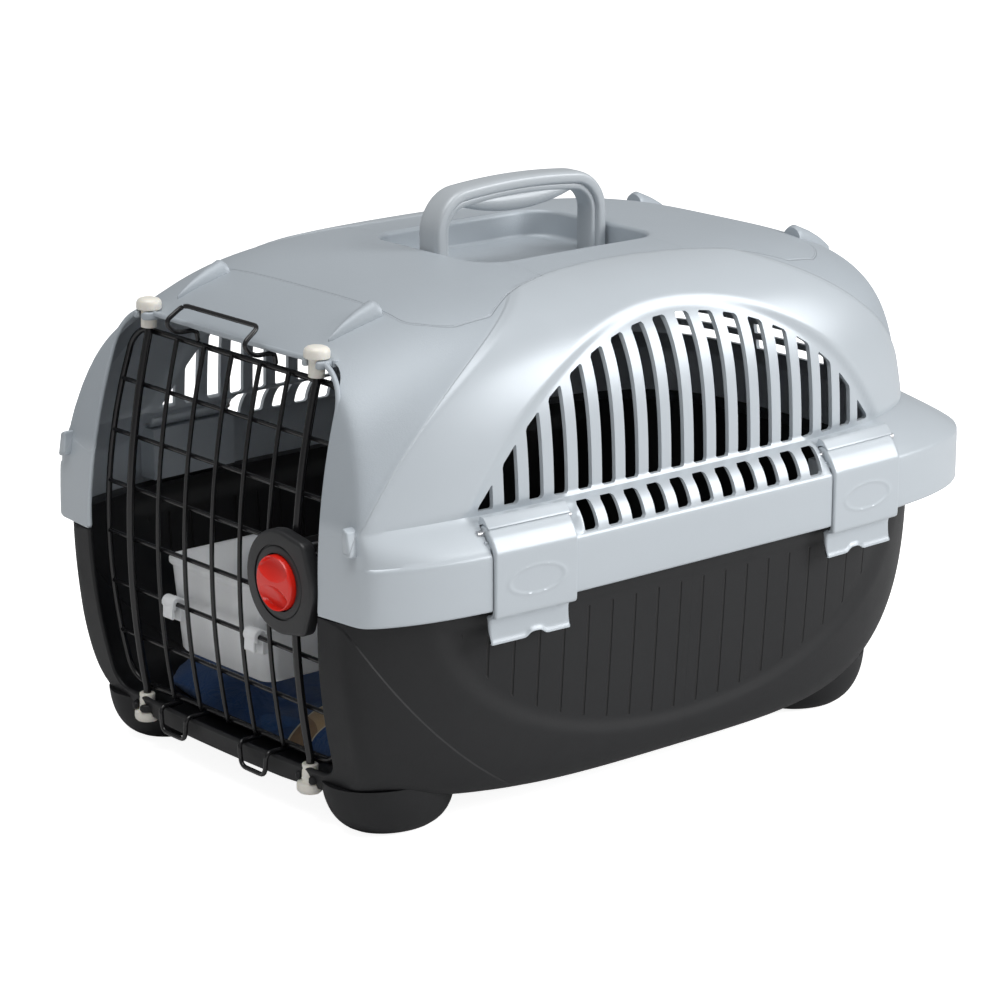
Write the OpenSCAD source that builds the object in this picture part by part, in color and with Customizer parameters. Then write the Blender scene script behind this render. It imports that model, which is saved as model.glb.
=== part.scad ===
// Pet transport carrier: a two-part moulded cabin with a wire door, four side clips,
// a roof handle, a knob lock, a hang-on bowl and a floor cushion. Millimetres, +Z up,
// the door faces -Y, the feet stand on z = 0.

/* [Cabin] */
// Width over the rim
rim_w = 370; // [300:5:460]
// Distance from the rim's middle to its rear end
rim_rear = 287.5; // [250:2.5:350]
// Height of the rim's lower edge above the ground
rim_z = 146; // [115:1:180]
// Height of the roof above the rim's lower edge
roof_h = 176; // [150:1:215]
// Wall thickness of the two mouldings
wall = 3; // [2:0.5:4]
// Height of the rim's upright face
rim_h = 35; // [28:1:42]
// Clearance under the tray between the feet
foot_h = 9; // [7:1:14]

/* [Front] */
// Distance from the rim's middle to the front at its middle
front_y = 259; // [235:1:290]
// Half width of the doorway
door_half = 121; // [112:1:128]
// Top of the doorway above the rim's lower edge
door_top = 143; // [125:1:150]
// Bottom of the doorway below the rim's lower edge
door_bottom = 108; // [90:1:112]

/* [Door] */
// Radius of the thin wires
wire_r = 1.5; // [1:0.1:1.8]
// Radius of the frame wire
frame_r = 2; // [1.6:0.1:2.4]
// Radius of the two pivot rods
rod_r = 2.6; // [2.2:0.1:3]
// Gap between the door frame and the doorway's sides
door_gap = 2; // [1.5:0.5:5]
// Number of cross wires between the frame's two bars
rows = 6; // [4:1:7]
// Number of upright wires
uprights = 5; // [3:2:5]
// Distance of each pivot rod from the middle
rod_x = 86; // [78:1:92]
// Radius of the door's bow from top to bottom
bow_r = 505; // [450:5:600]

/* [Lock] */
// Radius of the turning knob
knob_r = 17; // [14:0.5:20]
// Travel of the bolt
bolt_travel = 9; // [8:0.5:10]

/* [Clips] */
// Width of each clip
clip_w = 62; // [50:1:70]
// Distance of each clip from the rim's middle
clip_y = 140; // [135:1:148]

/* [Handle] */
// Length of the handle
handle_l = 144; // [120:1:148]
// Width of the handle
handle_w = 20; // [16:1:26]
// Height of the handle above the roof
handle_h = 39; // [30:1:50]

/* [Bowl and cushion] */
// Width of the bowl
bowl_w = 108; // [80:1:120]
// Depth of the bowl from front to back
bowl_d = 86; // [60:1:100]
// Height of the bowl
bowl_h = 62; // [45:1:70]
// Thickness of the cushion
cushion_h = 32; // [20:1:40]

/* [Hidden] */
$fn = 48;

// Running and sliding clearances
fit = 0.05;
free = 0.4;
slack = 1.5;

// Rim outline and cabin shape: a super-ellipse at each height
rim_n = 4.87;
wall_n = 3.8;
rim_half = rim_w / 2;
roof_half = rim_half - 17;
deck_z = 55;
tray_half = rim_half - 11;
tray_rear = rim_rear - 25.5;
tray_deep = rim_z - foot_h;
tray_front = 298;
roof_front = 400;
roof_rear = rim_rear - 19.5;
steps = 68;

// Front face: a shallow bowl-shaped cut with these two radii
front_up_r = 360;
front_side_r = 1440;
front_axis = 600;
door_top_in = 6;
arch_corner = 28;
sill_corner = 14;

// Tray flange inside the shell's skirt, and the shell's ledge that stands on it
flange_t = 4;
flange_half = rim_half - wall - 2;
flange_rear = rim_rear - wall - 2;
ledge_t = 4;
ledge_w = 13;

// Vents
vent_pitch = 19;
vent_w = 11;
vent_count = 18;
vent_z = 55.5;
arch_top = roof_h - 27;
arch_r = 195.7;
low_vents = 11;
low_z0 = 36;
low_z1 = 53;
rear_cols = 3;
rear_rows = 3;
rear_pitch_x = 72;
rear_pitch_z = 11.5;
rear_slot = [66, 7];

// Grooved panel on each side of the tray
panel_half = 192;
panel_deep = 104;
groove_w = 2.4;
groove_t = 1.4;

// Roof recess around the handle
well = [122, 152, 18];
well_floor = roof_h - 19;
handle_t = 13;
grip_t = 13;
stud_r = 4;
stud_l = 6;

// Door wires, from the doorway's size
frame_half = door_half - door_gap - frame_r;
frame_widest_z = 12;
frame_draw = 10;
// Half width of the door's outer wire: widest near the middle, drawn in towards the top and bottom
function frame_x(z) = frame_half - frame_draw * pow((z - frame_widest_z) / 115, 2);
bar_top = door_top - 13.5;
bar_bottom = -door_bottom + 6.2;
row_pitch = (bar_top - bar_bottom) / (rows + 1);
bow_z = -5;
rod_front = front_y - 14.5;
bow_cy = -rod_front + bow_r;
row_arc = bow_r - rod_r - wire_r;
frame_arc = row_arc + wire_r - frame_r;
upright_arc = row_arc + 2 * wire_r;
corner_r = 16;
upright_pitch = rod_x / 3;

// Pivot line through the ends of the rods, leaning back slightly
function arc_y(r, z) = bow_cy - sqrt(r * r - (z - bow_z) * (z - bow_z));
pivot_top = arc_y(bow_r, bar_top);
pivot_bottom = arc_y(bow_r, bar_bottom);
pivot_lean = atan((pivot_top - pivot_bottom) / (bar_top - bar_bottom));
function pivot_y(z) = pivot_top + (z - bar_top) * tan(pivot_lean);

// Bushes on the rod ends and the eyelets that hold them
sleeve_r = 5;
head_r = 8;
head_t = 8;
eyelet_r = 9.4;
eyelet_t = 5;
eyelet_slit = 4;
eyelet_top_z = door_top - 4;
eyelet_low_z = -door_bottom - 8.5;
rod_proud = 5;
seat_r = head_r + 1.4;

// Lock, set on the rod
lock_x = rod_x;
lock_z = 13;
plate_back = -rod_front - rod_r - 0.3;
bolt_t = 2.1;
channel_t = bolt_t + 0.25;
bolt_h = 10;
pinion_r = bolt_travel * 2 / PI;
teeth = 12;
tooth_h = 1.3;
tooth_w = 1.05;
shaft_r = 4;
floor_t = 2.7;
cup_t = 4.6;
plate_t = channel_t + floor_t + cup_t;
plate_r = 32;
screw_x = 10;
screw_z = 22;
screw_r = 1.5;
back_t = 5;
lock_back_y = arc_y(frame_arc, lock_z + plate_r) + frame_r + 0.1;
bolt_rest = door_half - 2.3;

// Clips turn about a pin near the top of the rim
pin_r = 2;
pin_x = rim_half - 12;
pin_z = 46;
barrel_r = 4.5;
clip_face = rim_half + 0.6;
clip_inner = rim_half - 3.6;
clip_turn = 2.4;
tab_x = rim_half - 9.9;
tab_t = 3;
tab_low = -22.5;

// The cushion lies on the tray floor
cushion_front = front_y - 44;
cushion_lift = 1.5;

// The whole carrier is centred front to back between its knob and the rim's rear end
knob_proud = 4.5;
knob_front = plate_back - plate_t - knob_proud;
frame_y = -(rim_rear + knob_front) / 2;

// ---------- helpers ----------

module place() {
    translate([0, frame_y, rim_z]) children();
}

module meshed() {
    resize([0, 0, 0]) children();
}

function power(v, e) = sign(v) * pow(abs(v), e);

// One closed outline: half width a, half lengths f (front) and b (rear), exponent n
function ring(a, f, b, n, z) = [
    for (i = [0 : steps - 1])
        let (t = 360 * (i + 0.5) / steps, s = power(sin(t), 2 / n))
            [a * power(cos(t), 2 / n), s * (s > 0 ? b : f), z]
];

// A closed solid through a list of outlines, from the lowest to the highest
module loft(rings) {
    n = len(rings);
    points = [for (r = rings) for (p = r) p];
    sides = [
        for (k = [0 : n - 2]) for (i = [0 : steps - 1])
            let (j = (i + 1) % steps)
                [k * steps + i, (k + 1) * steps + i, (k + 1) * steps + j, k * steps + j]
    ];
    low = [for (i = [0 : steps - 1]) i];
    high = [for (i = [steps - 1 : -1 : 0]) (n - 1) * steps + i];
    polyhedron(points, concat([low], sides, [high]), convexity = 6);
}

// Shell outline at height z above the rim, drawn in by d
function shell_t(z, d) = min(z / (roof_h - d), 0.992);
function shell_ring(z, d) =
    let (t = shell_t(z, d))
        ring(
            (roof_half - d) * pow(1 - pow(t, 4.5), 1 / 5),
            (roof_front - d) * (1 - 0.5 * t) * pow(1 - pow(t, 12), 1 / 6),
            (roof_rear - d) * (1 - 0.13 * t) * pow(1 - pow(t, 6), 1 / 6),
            wall_n, z
        );
function skirt_ring(z, d) = ring(rim_half - d, rim_rear - d, rim_rear - d, rim_n, z);

// Heights of the shell's outlines: closer together where the roof turns over
shell_levels = 11;
function shell_z(k, d) =
    deck_z + (0.992 * (roof_h - d) - deck_z) * sin(90 * k / shell_levels);

module shell_body(d) {
    loft(concat(
        [skirt_ring(d > 0 ? -1 : 0, d), skirt_ring(rim_h, d), skirt_ring(rim_h + 5, d + 2.5)],
        [for (k = [0 : shell_levels]) shell_ring(shell_z(k, d), d)]
    ));
}

// Tray half width and half lengths at depth z below the rim, drawn in by d
function tray_t(z, d) = min(-z / (tray_deep - d), 0.988);
function tray_a(z, d) = let (t = tray_t(z, d))
    (tray_half - d) * (1 - 0.055 * pow(t, 1.3)) * pow(1 - pow(t, 20), 1 / 7);
function tray_f(z, d) = (tray_front - d) * pow(1 - pow(tray_t(z, d), 7), 1 / 2.5);
function tray_b(z, d) = (tray_rear - d) * pow(1 - pow(tray_t(z, d), 3.2), 1 / 5);
function tray_x(y, z) =
    tray_a(z, 0) * pow(1 - pow(abs(y) / (y > 0 ? tray_b(z, 0) : tray_f(z, 0)), wall_n), 1 / wall_n);
function tray_ring(z, d) = ring(tray_a(z, d), tray_f(z, d), tray_b(z, d), wall_n, z);

tray_levels = 11;
module tray_body(d) {
    deep = 0.988 * (tray_deep - d);
    loft(concat(
        [for (k = [tray_levels : -1 : 0]) tray_ring(-deep * sin(90 * k / tray_levels), d)],
        d > 0 ? [tray_ring(0, d), ring(tray_half - d, tray_front - d, tray_rear - d, wall_n, flange_t + 1)] : []
    ));
}

// Everything behind the curved front face, moved back by d
module behind_front(d) {
    side = sqrt(front_side_r * front_axis);
    up = sqrt(front_up_r * front_axis);
    translate([0, -front_y + front_axis + d, 0])
        scale([side / front_axis, 1, up / front_axis])
            sphere(r = front_axis, $fn = 144);
}

// The doorway's outline, narrower at the top, pushed through the front wall
module doorway() {
    translate([0, -front_y + 60, 0]) rotate([90, 0, 0]) linear_extrude(90) hull() {
        for (s = [-1, 1]) {
            translate([s * (door_half - door_top_in - arch_corner), door_top - arch_corner]) circle(arch_corner);
            translate([s * (door_half - arch_corner), 12]) circle(arch_corner);
            translate([s * (door_half - 4 - sill_corner), -door_bottom + sill_corner]) circle(sill_corner);
        }
    }
}

module box_at(low, high) {
    translate(low) cube(high - low);
}

// A wire bowed with the door, upright at x, along the arc of radius a
module bowed_wire(x, a, r, z0, z1) {
    a0 = asin((z0 - bow_z) / a);
    a1 = asin((z1 - bow_z) / a);
    translate([x, bow_cy, bow_z]) rotate([90, 0, -90]) rotate([0, 0, a0])
        rotate_extrude(angle = a1 - a0, $fn = 720) translate([a, 0]) circle(r, $fn = 32);
}

module on_both_sides() {
    children();
    mirror([1, 0, 0]) children();
}

// Puts a child at a clip: side 1 is +X, end 1 is the rear
module at_clip(side, end) {
    mirror([side < 0 ? 1 : 0, 0, 0]) mirror([0, end < 0 ? 1 : 0, 0])
        translate([0, clip_y - rim_half * sin(clip_turn), 0]) rotate([0, 0, clip_turn]) children();
}

// ---------- cabin ----------

module foot() {
    meshed() intersection() {
        hull() {
            translate([112, -196, -tray_deep + 30]) scale([34, 44, 20]) sphere(1, $fn = 28);
            translate([114, -198, -rim_z]) cylinder(r = 15, h = 6, $fn = 28);
        }
        box_at([0, -260, -rim_z], [200, 0, -tray_deep + 40]);
    }
}

module feet() {
    on_both_sides() {
        foot();
        translate([0, -36, 0]) mirror([0, 1, 0]) foot();
    }
}

// Plates that carry the bushes at both sides of the doorway
module eyelets(z) {
    for (s = [-1, 1]) translate([s * rod_x, pivot_y(z + eyelet_t / 2), z]) {
        cylinder(r = eyelet_r, h = eyelet_t);
        box_at([-eyelet_r, 0, 0], [eyelet_r, 9, eyelet_t]);
    }
}

// Bores through the eyelets, open to the front: wide on the lock side, a slit on the other
module eyelet_bores(z) {
    for (s = [-1, 1]) translate([s * rod_x, pivot_y(z + eyelet_t / 2), z - 1]) {
        half = s > 0 ? sleeve_r + free : eyelet_slit / 2;
        cylinder(r = sleeve_r + free, h = eyelet_t + 2);
        box_at([-half, -20, 0], [half, 0, eyelet_t + 2]);
    }
}

// Upright grooves that fill a half-ellipse on each side of the tray
module side_panel_grooves() {
    top = -12;
    for (k = [-9.5 : 9.5]) {
        y = k * vent_pitch;
        low = -panel_deep * sqrt(1 - pow(y / panel_half, 2));
        x0 = tray_x(y, top);
        x1 = tray_x(y, low);
        lean = atan((x0 - x1) / (top - low));
        if (top - low > 14)
            on_both_sides() translate([x0 - groove_t, y - groove_w / 2, top]) rotate([0, lean, 0])
                translate([0, 0, low - top]) cube([9, groove_w, top - low]);
    }
}

module base_tray() {
    place() color([0.18, 0.19, 0.20]) meshed() difference() {
        union() {
            difference() {
                union() {
                    intersection() {
                        tray_body(0);
                        behind_front(0);
                    }
                    intersection() {
                        flange();
                        behind_front(wall + slack);
                    }
                    intersection() {
                        feet();
                        box_at([-rim_half, -rim_rear, -rim_z], [rim_half, rim_rear, -tray_deep + 24]);
                    }
                }
                intersection() {
                    tray_body(wall);
                    behind_front(wall);
                }
                doorway();
                seats(eyelet_low_z, -1);
            }
            eyelets(eyelet_low_z);
        }
        eyelet_bores(eyelet_low_z);
        side_panel_grooves();
    }
}

// Flat flange round the tray's upper edge
module flange() {
    loft([
        ring(tray_half - 1, tray_front - 1, tray_rear - 1, wall_n, -6),
        ring(flange_half, flange_rear, flange_rear, rim_n, 0),
        ring(flange_half, flange_rear, flange_rear, rim_n, flange_t)
    ]);
}

// Room above and below the eyelets at z: the bush heads are above (up = 1) or below (-1)
module seats(z, up) {
    long = 40;
    head = [seat_r, up > 0 ? 16 : long];
    sleeve = [sleeve_r + slack, long];
    for (s = [-1, 1]) for (above = [true, false]) {
        room = above == (up > 0) ? head : sleeve;
        y = pivot_y(z + (above ? eyelet_t : 0));
        translate([s * rod_x, y, above ? z + eyelet_t : z - room[1]]) {
            cylinder(r = room[0], h = room[1]);
            box_at([-room[0], -30, 0], [room[0], 0, room[1]]);
        }
    }
}

function arch_z(y) = min(arch_top, arch_top - arch_r + sqrt(arch_r * arch_r - y * y));

module side_vents() {
    on_both_sides() {
        for (k = [0 : vent_count - 1]) {
            y = (k - (vent_count - 1) / 2) * vent_pitch;
            edge = abs(y) + vent_w / 2;
            box_at([100, y - vent_w / 2, vent_z], [rim_half + 5, y + vent_w / 2, arch_z(edge)]);
        }
        for (k = [0 : low_vents - 1]) {
            y = (k - (low_vents - 1) / 2) * vent_pitch;
            box_at([roof_half - 4, y - vent_w / 2, low_z0], [rim_half + 5, y + vent_w / 2, low_z1]);
        }
    }
}

module rear_vents() {
    for (c = [0 : rear_cols - 1]) for (r = [0 : rear_rows - 1]) {
        x = (c - (rear_cols - 1) / 2) * rear_pitch_x;
        z = deck_z + 4 + r * rear_pitch_z;
        box_at(
            [x - rear_slot[0] / 2, 120, z - rear_slot[1] / 2],
            [x + rear_slot[0] / 2, rim_rear + 10, z + rear_slot[1] / 2]
        );
    }
}

module rounded_block(size, r, h) {
    linear_extrude(h) hull() {
        for (x = [-1, 1]) for (y = [-1, 1])
            translate([x * (size[0] / 2 - r), y * (size[1] / 2 - r)]) circle(r, $fn = 32);
    }
}

// Room cut for one clip, and the block behind it
module clip_room() {
    half = clip_w / 2 + 0.6;
    box_at([clip_inner - 1.4, -half, -10], [rim_half + 20, half, pin_z]);
    box_at([pin_x, -half, rim_h + 0.8], [rim_half + 20, half, deck_z + 5]);
    translate([pin_x, half, pin_z]) rotate([90, 0, 0]) cylinder(r = barrel_r + slack, h = 2 * half);
}

module clip_block() {
    half = clip_w / 2 + 8;
    box_at([pin_x - 9, -half, flange_t + ledge_t], [clip_inner - 1.4, half, deck_z - 1]);
}

module guide_bump() {
    hull() {
        translate([79, 168, roof_h - 12]) sphere(10, $fn = 20);
        translate([77, 200, roof_h - 26]) sphere(7, $fn = 20);
    }
}

module top_shell() {
    place() color([0.74, 0.77, 0.79]) meshed() difference() {
        union() {
            difference() {
                intersection() {
                    union() {
                        shell_body(0);
                        for (y = [0, 1]) mirror([0, y, 0]) on_both_sides() guide_bump();
                    }
                    behind_front(0);
                }
                difference() {
                    intersection() {
                        shell_body(wall);
                        behind_front(wall);
                    }
                    ledge();
                    intersection() {
                        union() for (s = [-1, 1]) for (e = [-1, 1]) at_clip(s, e) clip_block();
                        shell_body(wall / 2);
                    }
                    translate([0, 0, well_floor - wall])
                        rounded_block([well[0] + 2 * wall, well[1] + 2 * wall], well[2] + wall, 60);
                }
                doorway();
                seats(eyelet_top_z, 1);
            }
            eyelets(eyelet_top_z);
        }
        eyelet_bores(eyelet_top_z);
        translate([0, 0, well_floor]) rounded_block(well, well[2], 60);
        for (y = [-1, 1])
            translate([0, y * (handle_l - handle_t) / 2, well_floor - 10])
                cylinder(r = stud_r + free, h = 20);
        side_vents();
        rear_vents();
        for (s = [-1, 1]) for (e = [-1, 1]) at_clip(s, e) {
            clip_room();
            translate([pin_x, clip_w / 2 + 6, pin_z]) rotate([90, 0, 0])
                cylinder(r = pin_r - 0.1, h = clip_w + 12);
        }
    }
}

// Inner ledge that stands on the tray's flange
module ledge() {
    difference() {
        loft([skirt_ring(flange_t, 0.5), skirt_ring(flange_t + ledge_t, 0.5)]);
        loft([skirt_ring(flange_t - 1, ledge_w), skirt_ring(flange_t + ledge_t + 1, ledge_w)]);
    }
}

module carry_handle() {
    foot_z = well_floor;
    top_z = roof_h + handle_h;
    place() color([0.74, 0.76, 0.77]) {
        translate([-handle_w / 2, 0, 0]) rotate([90, 0, 90]) linear_extrude(handle_w) difference() {
            hull() {
                for (s = [-1, 1]) {
                    translate([s * (handle_l / 2 - 20), top_z - 20]) circle(20);
                    translate([s * (handle_l - handle_t) / 2, foot_z + 3])
                        square([handle_t, 6], center = true);
                }
            }
            hull() {
                for (s = [-1, 1]) {
                    translate([s * (handle_l / 2 - handle_t - 9), top_z - grip_t - 9]) circle(9);
                    translate([s * (handle_l / 2 - handle_t - 1), foot_z - 1]) circle(1);
                }
            }
        }
        for (y = [-1, 1])
            translate([0, y * (handle_l - handle_t) / 2, foot_z - stud_l]) cylinder(r = stud_r, h = stud_l);
    }
}

// ---------- clips ----------

// Draws a flat shape, given in the clip's own x and z, across the clip's width
module across_clip(w) {
    translate([0, w / 2, 0]) rotate([90, 0, 0]) linear_extrude(w) children();
}

module clip(side, end) {
    place() color([0.76, 0.79, 0.81]) at_clip(side, end) difference() {
        union() {
            across_clip(clip_w) translate([pin_x, pin_z]) circle(barrel_r);
            across_clip(clip_w) polygon([
                [pin_x - 1, pin_z + barrel_r - 0.1],
                [pin_x + 5, pin_z + barrel_r - 1.6],
                [clip_face - 4, rim_h + 7],
                [clip_face - 1, rim_h + 3],
                [clip_face, rim_h],
                [clip_face, -3.5],
                [clip_face - 1.5, -5],
                [tab_x + tab_t + 1, -6],
                [tab_x + tab_t, -8],
                [tab_x + tab_t + 0.4, tab_low + 5],
                [tab_x + tab_t + 2, tab_low + 0.6],
                [tab_x + tab_t + 1, tab_low],
                [tab_x + 1.6, tab_low + 4],
                [tab_x, -8],
                [tab_x, -4.8],
                [tab_x + 1.2, -3.5],
                [clip_inner, -2.2],
                [clip_inner, rim_h],
                [clip_inner - 3, rim_h + 4],
                [pin_x - 1, pin_z]
            ]);
        }
        across_clip(clip_w + 2) translate([pin_x, pin_z]) circle(pin_r + fit);
        translate([tab_x, -6, tab_low]) cube([20, 11, 6], center = true);
    }
}

module clip_pins() {
    place() color([0.7, 0.72, 0.74])
        for (s = [-1, 1]) for (e = [-1, 1]) at_clip(s, e)
            translate([pin_x, clip_w / 2 + 5, pin_z]) rotate([90, 0, 0]) cylinder(r = pin_r, h = clip_w + 10);
}

// ---------- door ----------

module door_frame() {
    n = 5;
    z0 = bar_bottom + corner_r;
    z1 = bar_top - corner_r;
    function bowed(x, z) = [x, arc_y(frame_arc, z), z];
    side = [for (k = [0 : 12]) let (z = z0 + (z1 - z0) * k / 12) bowed(frame_x(z), z)];
    top = [for (k = [1 : n]) let (a = 90 * k / n)
        bowed(frame_x(z1) - corner_r * (1 - cos(a)), z1 + corner_r * sin(a))];
    low = [for (k = [0 : n - 1]) let (a = 90 * (n - k) / n)
        bowed(frame_x(z0) - corner_r * (1 - cos(a)), z0 - corner_r * sin(a))];
    half = concat(low, side, top);
    other = [for (k = [len(half) - 1 : -1 : 0]) [-half[k][0], half[k][1], half[k][2]]];
    place() color([0.07, 0.07, 0.08]) tube(concat(half, other), frame_r);
}

// A round wire along a path that lies close to one upright plane; closed paths meet themselves
module tube(path, r, closed = true, m = 10) {
    n = len(path);
    function next(k) = closed ? (k + 1) % n : min(k + 1, n - 1);
    function last(k) = closed ? (k + n - 1) % n : max(k - 1, 0);
    points = [
        for (k = [0 : n - 1])
            let (
                d = path[next(k)] - path[last(k)],
                u = d / norm(d),
                w = wire_side(u),
                v = w / norm(w),
                b = cross(u, v)
            )
                for (i = [0 : m - 1]) path[k] + r * (v * cos(360 * i / m) + b * sin(360 * i / m))
    ];
    walls = [
        for (k = [0 : closed ? n - 1 : n - 2]) for (i = [0 : m - 1])
            let (p = k * m, q = next(k) * m, j = (i + 1) % m)
                [p + i, q + i, q + j, p + j]
    ];
    caps = closed ? [] : [[for (i = [0 : m - 1]) i], [for (i = [m - 1 : -1 : 0]) (n - 1) * m + i]];
    polyhedron(points, concat(walls, caps), convexity = 8);
}

// A direction square to u, kept steady along the wire
function wire_side(u) = [1, 1, 0.35] - u * (u * [1, 1, 0.35]);

// Rounds the corners of a path: n points of an arc-like curve, reaching d back from each corner
function eased(path, d, n = 3) = concat(
    [path[0]],
    [
        for (k = [1 : len(path) - 2])
            let (
                p = path[k],
                a = path[k - 1] - p,
                b = path[k + 1] - p,
                from = p + a * min(d / norm(a), 0.45),
                to = p + b * min(d / norm(b), 0.45)
            )
                for (i = [0 : n]) let (t = i / n) from * pow(1 - t, 2) + p * 2 * t * (1 - t) + to * t * t
    ],
    [path[len(path) - 1]]
);

module door_rows() {
    place() color([0.07, 0.07, 0.08])
        for (k = [1 : rows]) {
            z = bar_bottom + k * row_pitch;
            end = frame_x(z) - frame_r;
            translate([-end, arc_y(row_arc, z), z]) rotate([0, 90, 0]) cylinder(r = wire_r, h = 2 * end);
        }
}

module door_uprights() {
    place() color([0.07, 0.07, 0.08])
        for (k = [0 : uprights - 1]) {
            x = (k - (uprights - 1) / 2) * upright_pitch;
            bowed_wire(x, upright_arc, wire_r, bar_bottom, bar_top);
        }
}

module pivot_rod(side) {
    steps = 22;
    lean = [0, sin(pivot_lean), cos(pivot_lean)];
    top = [side * rod_x, arc_y(bow_r, bar_top), bar_top];
    low = [side * rod_x, arc_y(bow_r, bar_bottom), bar_bottom];
    place() color([0.07, 0.07, 0.08]) tube(concat(
        [low - lean * (bar_bottom - eyelet_low_z + rod_proud)],
        [
            for (k = [0 : steps])
                let (z = bar_bottom + (bar_top - bar_bottom) * k / steps)
                    [side * rod_x, arc_y(bow_r, z), z]
        ],
        [top + lean * (eyelet_top_z + eyelet_t + rod_proud - bar_top)]
    ), rod_r, false, 16);
}

// Loop that rises from the top bar, goes round the roof's front edge and lies over it
module door_top_stop() {
    bar_y = arc_y(frame_arc, bar_top);
    half = 40;
    over = -front_y + 26.5;
    leg = [
        [half, bar_y, bar_top + frame_r + wire_r - 0.2],
        [half, bar_y - 1, door_top - 4],
        [half, -front_y + 21, door_top - 4],
        [half, -front_y + 13, door_top + 4],
        [half - 1.5, over, door_top + 13]
    ];
    other = [for (k = [len(leg) - 1 : -1 : 0]) [-leg[k][0], leg[k][1], leg[k][2]]];
    place() color([0.07, 0.07, 0.08]) tube(eased(concat(leg, other), 5), wire_r, false);
}

module door_bottom_stops() {
    bar_y = arc_y(frame_arc, bar_bottom);
    half = 14;
    z = bar_bottom - frame_r - wire_r;
    out = -front_y + 13;
    place() color([0.07, 0.07, 0.08])
        for (s = [-1, 1]) translate([s * 42, 0, 0]) tube(eased([
            [-half, bar_y, z],
            [-half, out, z + 0.5],
            [-half + 2, out, z - 15],
            [half - 2, out, z - 15],
            [half, out, z + 0.5],
            [half, bar_y, z]
        ], 5), wire_r, false);
}

// Bush pressed on a rod end: up is 1 at the top and -1 at the bottom
module bush(side, up) {
    z = up > 0 ? eyelet_top_z + eyelet_t : eyelet_low_z;
    long = eyelet_t + 6;
    place() color([0.93, 0.92, 0.88])
        translate([side * rod_x, pivot_y(z), z]) rotate([-pivot_lean, 0, 0]) mirror([0, 0, up > 0 ? 0 : 1])
            difference() {
                union() {
                    translate([0, 0, 0.5]) cylinder(r = head_r, h = head_t - 2);
                    translate([0, 0, head_t - 1.5]) cylinder(r1 = head_r, r2 = head_r - 2.5, h = 1.5);
                    translate([0, 0, -long]) cylinder(r = sleeve_r, h = long + 1);
                }
                translate([0, 0, -long - 1]) cylinder(r = rod_r, h = long + 6);
            }
}

// ---------- lock ----------

// Round outline that runs out to a flat side towards the doorway's edge
module lock_outline(grow) {
    flat = door_half - 9.5 - lock_x;
    corner = 9;
    hull() {
        circle(plate_r + grow, $fn = 64);
        for (s = [-1, 1])
            translate([flat - corner, s * (plate_r - corner - 3)]) circle(corner + grow, $fn = 32);
    }
}

// Draws a flat shape at the lock, standing upright from y0 (front) to y1
module at_lock(y0, y1) {
    translate([lock_x, y1, lock_z]) rotate([90, 0, 0]) linear_extrude(y1 - y0) children();
}

module lock_housing() {
    front = plate_back - plate_t;
    channel = plate_back - channel_t;
    place() color([0.10, 0.10, 0.11]) difference() {
        union() {
            at_lock(front + 1.5, plate_back) lock_outline(0);
            at_lock(front, front + 1.5) lock_outline(-1.5);
        }
        at_lock(front - 1, front + cup_t) circle(knob_r + 0.7);
        at_lock(front - 1, plate_back + 1) circle(shaft_r + fit);
        at_lock(channel, plate_back + 1) {
            circle(pinion_r + 2);
            translate([-26, -bolt_h - 0.4]) square([26 + door_half - lock_x, 2 * bolt_h + 0.8]);
        }
        for (s = [-1, 1])
            at_lock(front + cup_t + 1, plate_back + 1) translate([screw_x, s * screw_z]) circle(screw_r);
    }
}

// Plate behind the wires; it is narrower than the housing, so it stays clear of the bowl
module lock_back() {
    y0 = lock_back_y;
    back_r = plate_r - 7;
    place() color([0.10, 0.10, 0.11]) difference() {
        at_lock(y0, y0 + back_t) hull() {
            translate([plate_r - back_r, 0]) circle(back_r, $fn = 64);
            intersection() {
                lock_outline(-3);
                translate([screw_x, -plate_r]) square(2 * plate_r);
            }
        }
        for (s = [-1, 1])
            at_lock(y0 - 1, y0 + back_t + 1) translate([screw_x, s * screw_z]) circle(screw_r + fit);
    }
}

module lock_screws() {
    front = plate_back - plate_t + cup_t + 1;
    back = lock_back_y + back_t;
    place() color([0.75, 0.75, 0.77])
        for (s = [-1, 1]) {
            at_lock(front, back) translate([screw_x, s * screw_z]) circle(screw_r);
            at_lock(back, back + 2) translate([screw_x, s * screw_z]) circle(2 * screw_r);
        }
}

// Flat toothed wheel between y0 and y1: each tooth is a narrow block
module pinion(y0, y1) {
    at_lock(y0, y1) circle(pinion_r - tooth_h / 2);
    for (k = [0 : teeth - 1])
        at_lock(y0, y1) rotate(360 * k / teeth) translate([0, pinion_r - tooth_h]) tooth(1);
}

// One tooth, pointing up (1) or down (-1)
module tooth(up) {
    polygon([
        [-tooth_w / 2, -0.2 * up], [tooth_w / 2, -0.2 * up],
        [tooth_w / 4, 1.5 * tooth_h * up], [-tooth_w / 4, 1.5 * tooth_h * up]
    ]);
}

module lock_knob() {
    dish_r = knob_r - 4.5;
    front = plate_back - plate_t;
    cup = front + cup_t;
    place() color([0.84, 0.10, 0.07]) {
        difference() {
            at_lock(front - knob_proud, cup - free) circle(knob_r);
            for (s = [-1, 1])
                translate([lock_x, front - knob_proud - 0.6 * dish_r, lock_z + s * 0.82 * knob_r]) sphere(r = dish_r);
        }
        at_lock(cup - free, plate_back - channel_t + 0.1) circle(shaft_r);
        pinion(plate_back - channel_t + 0.1, plate_back - 0.1);
    }
}

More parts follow.
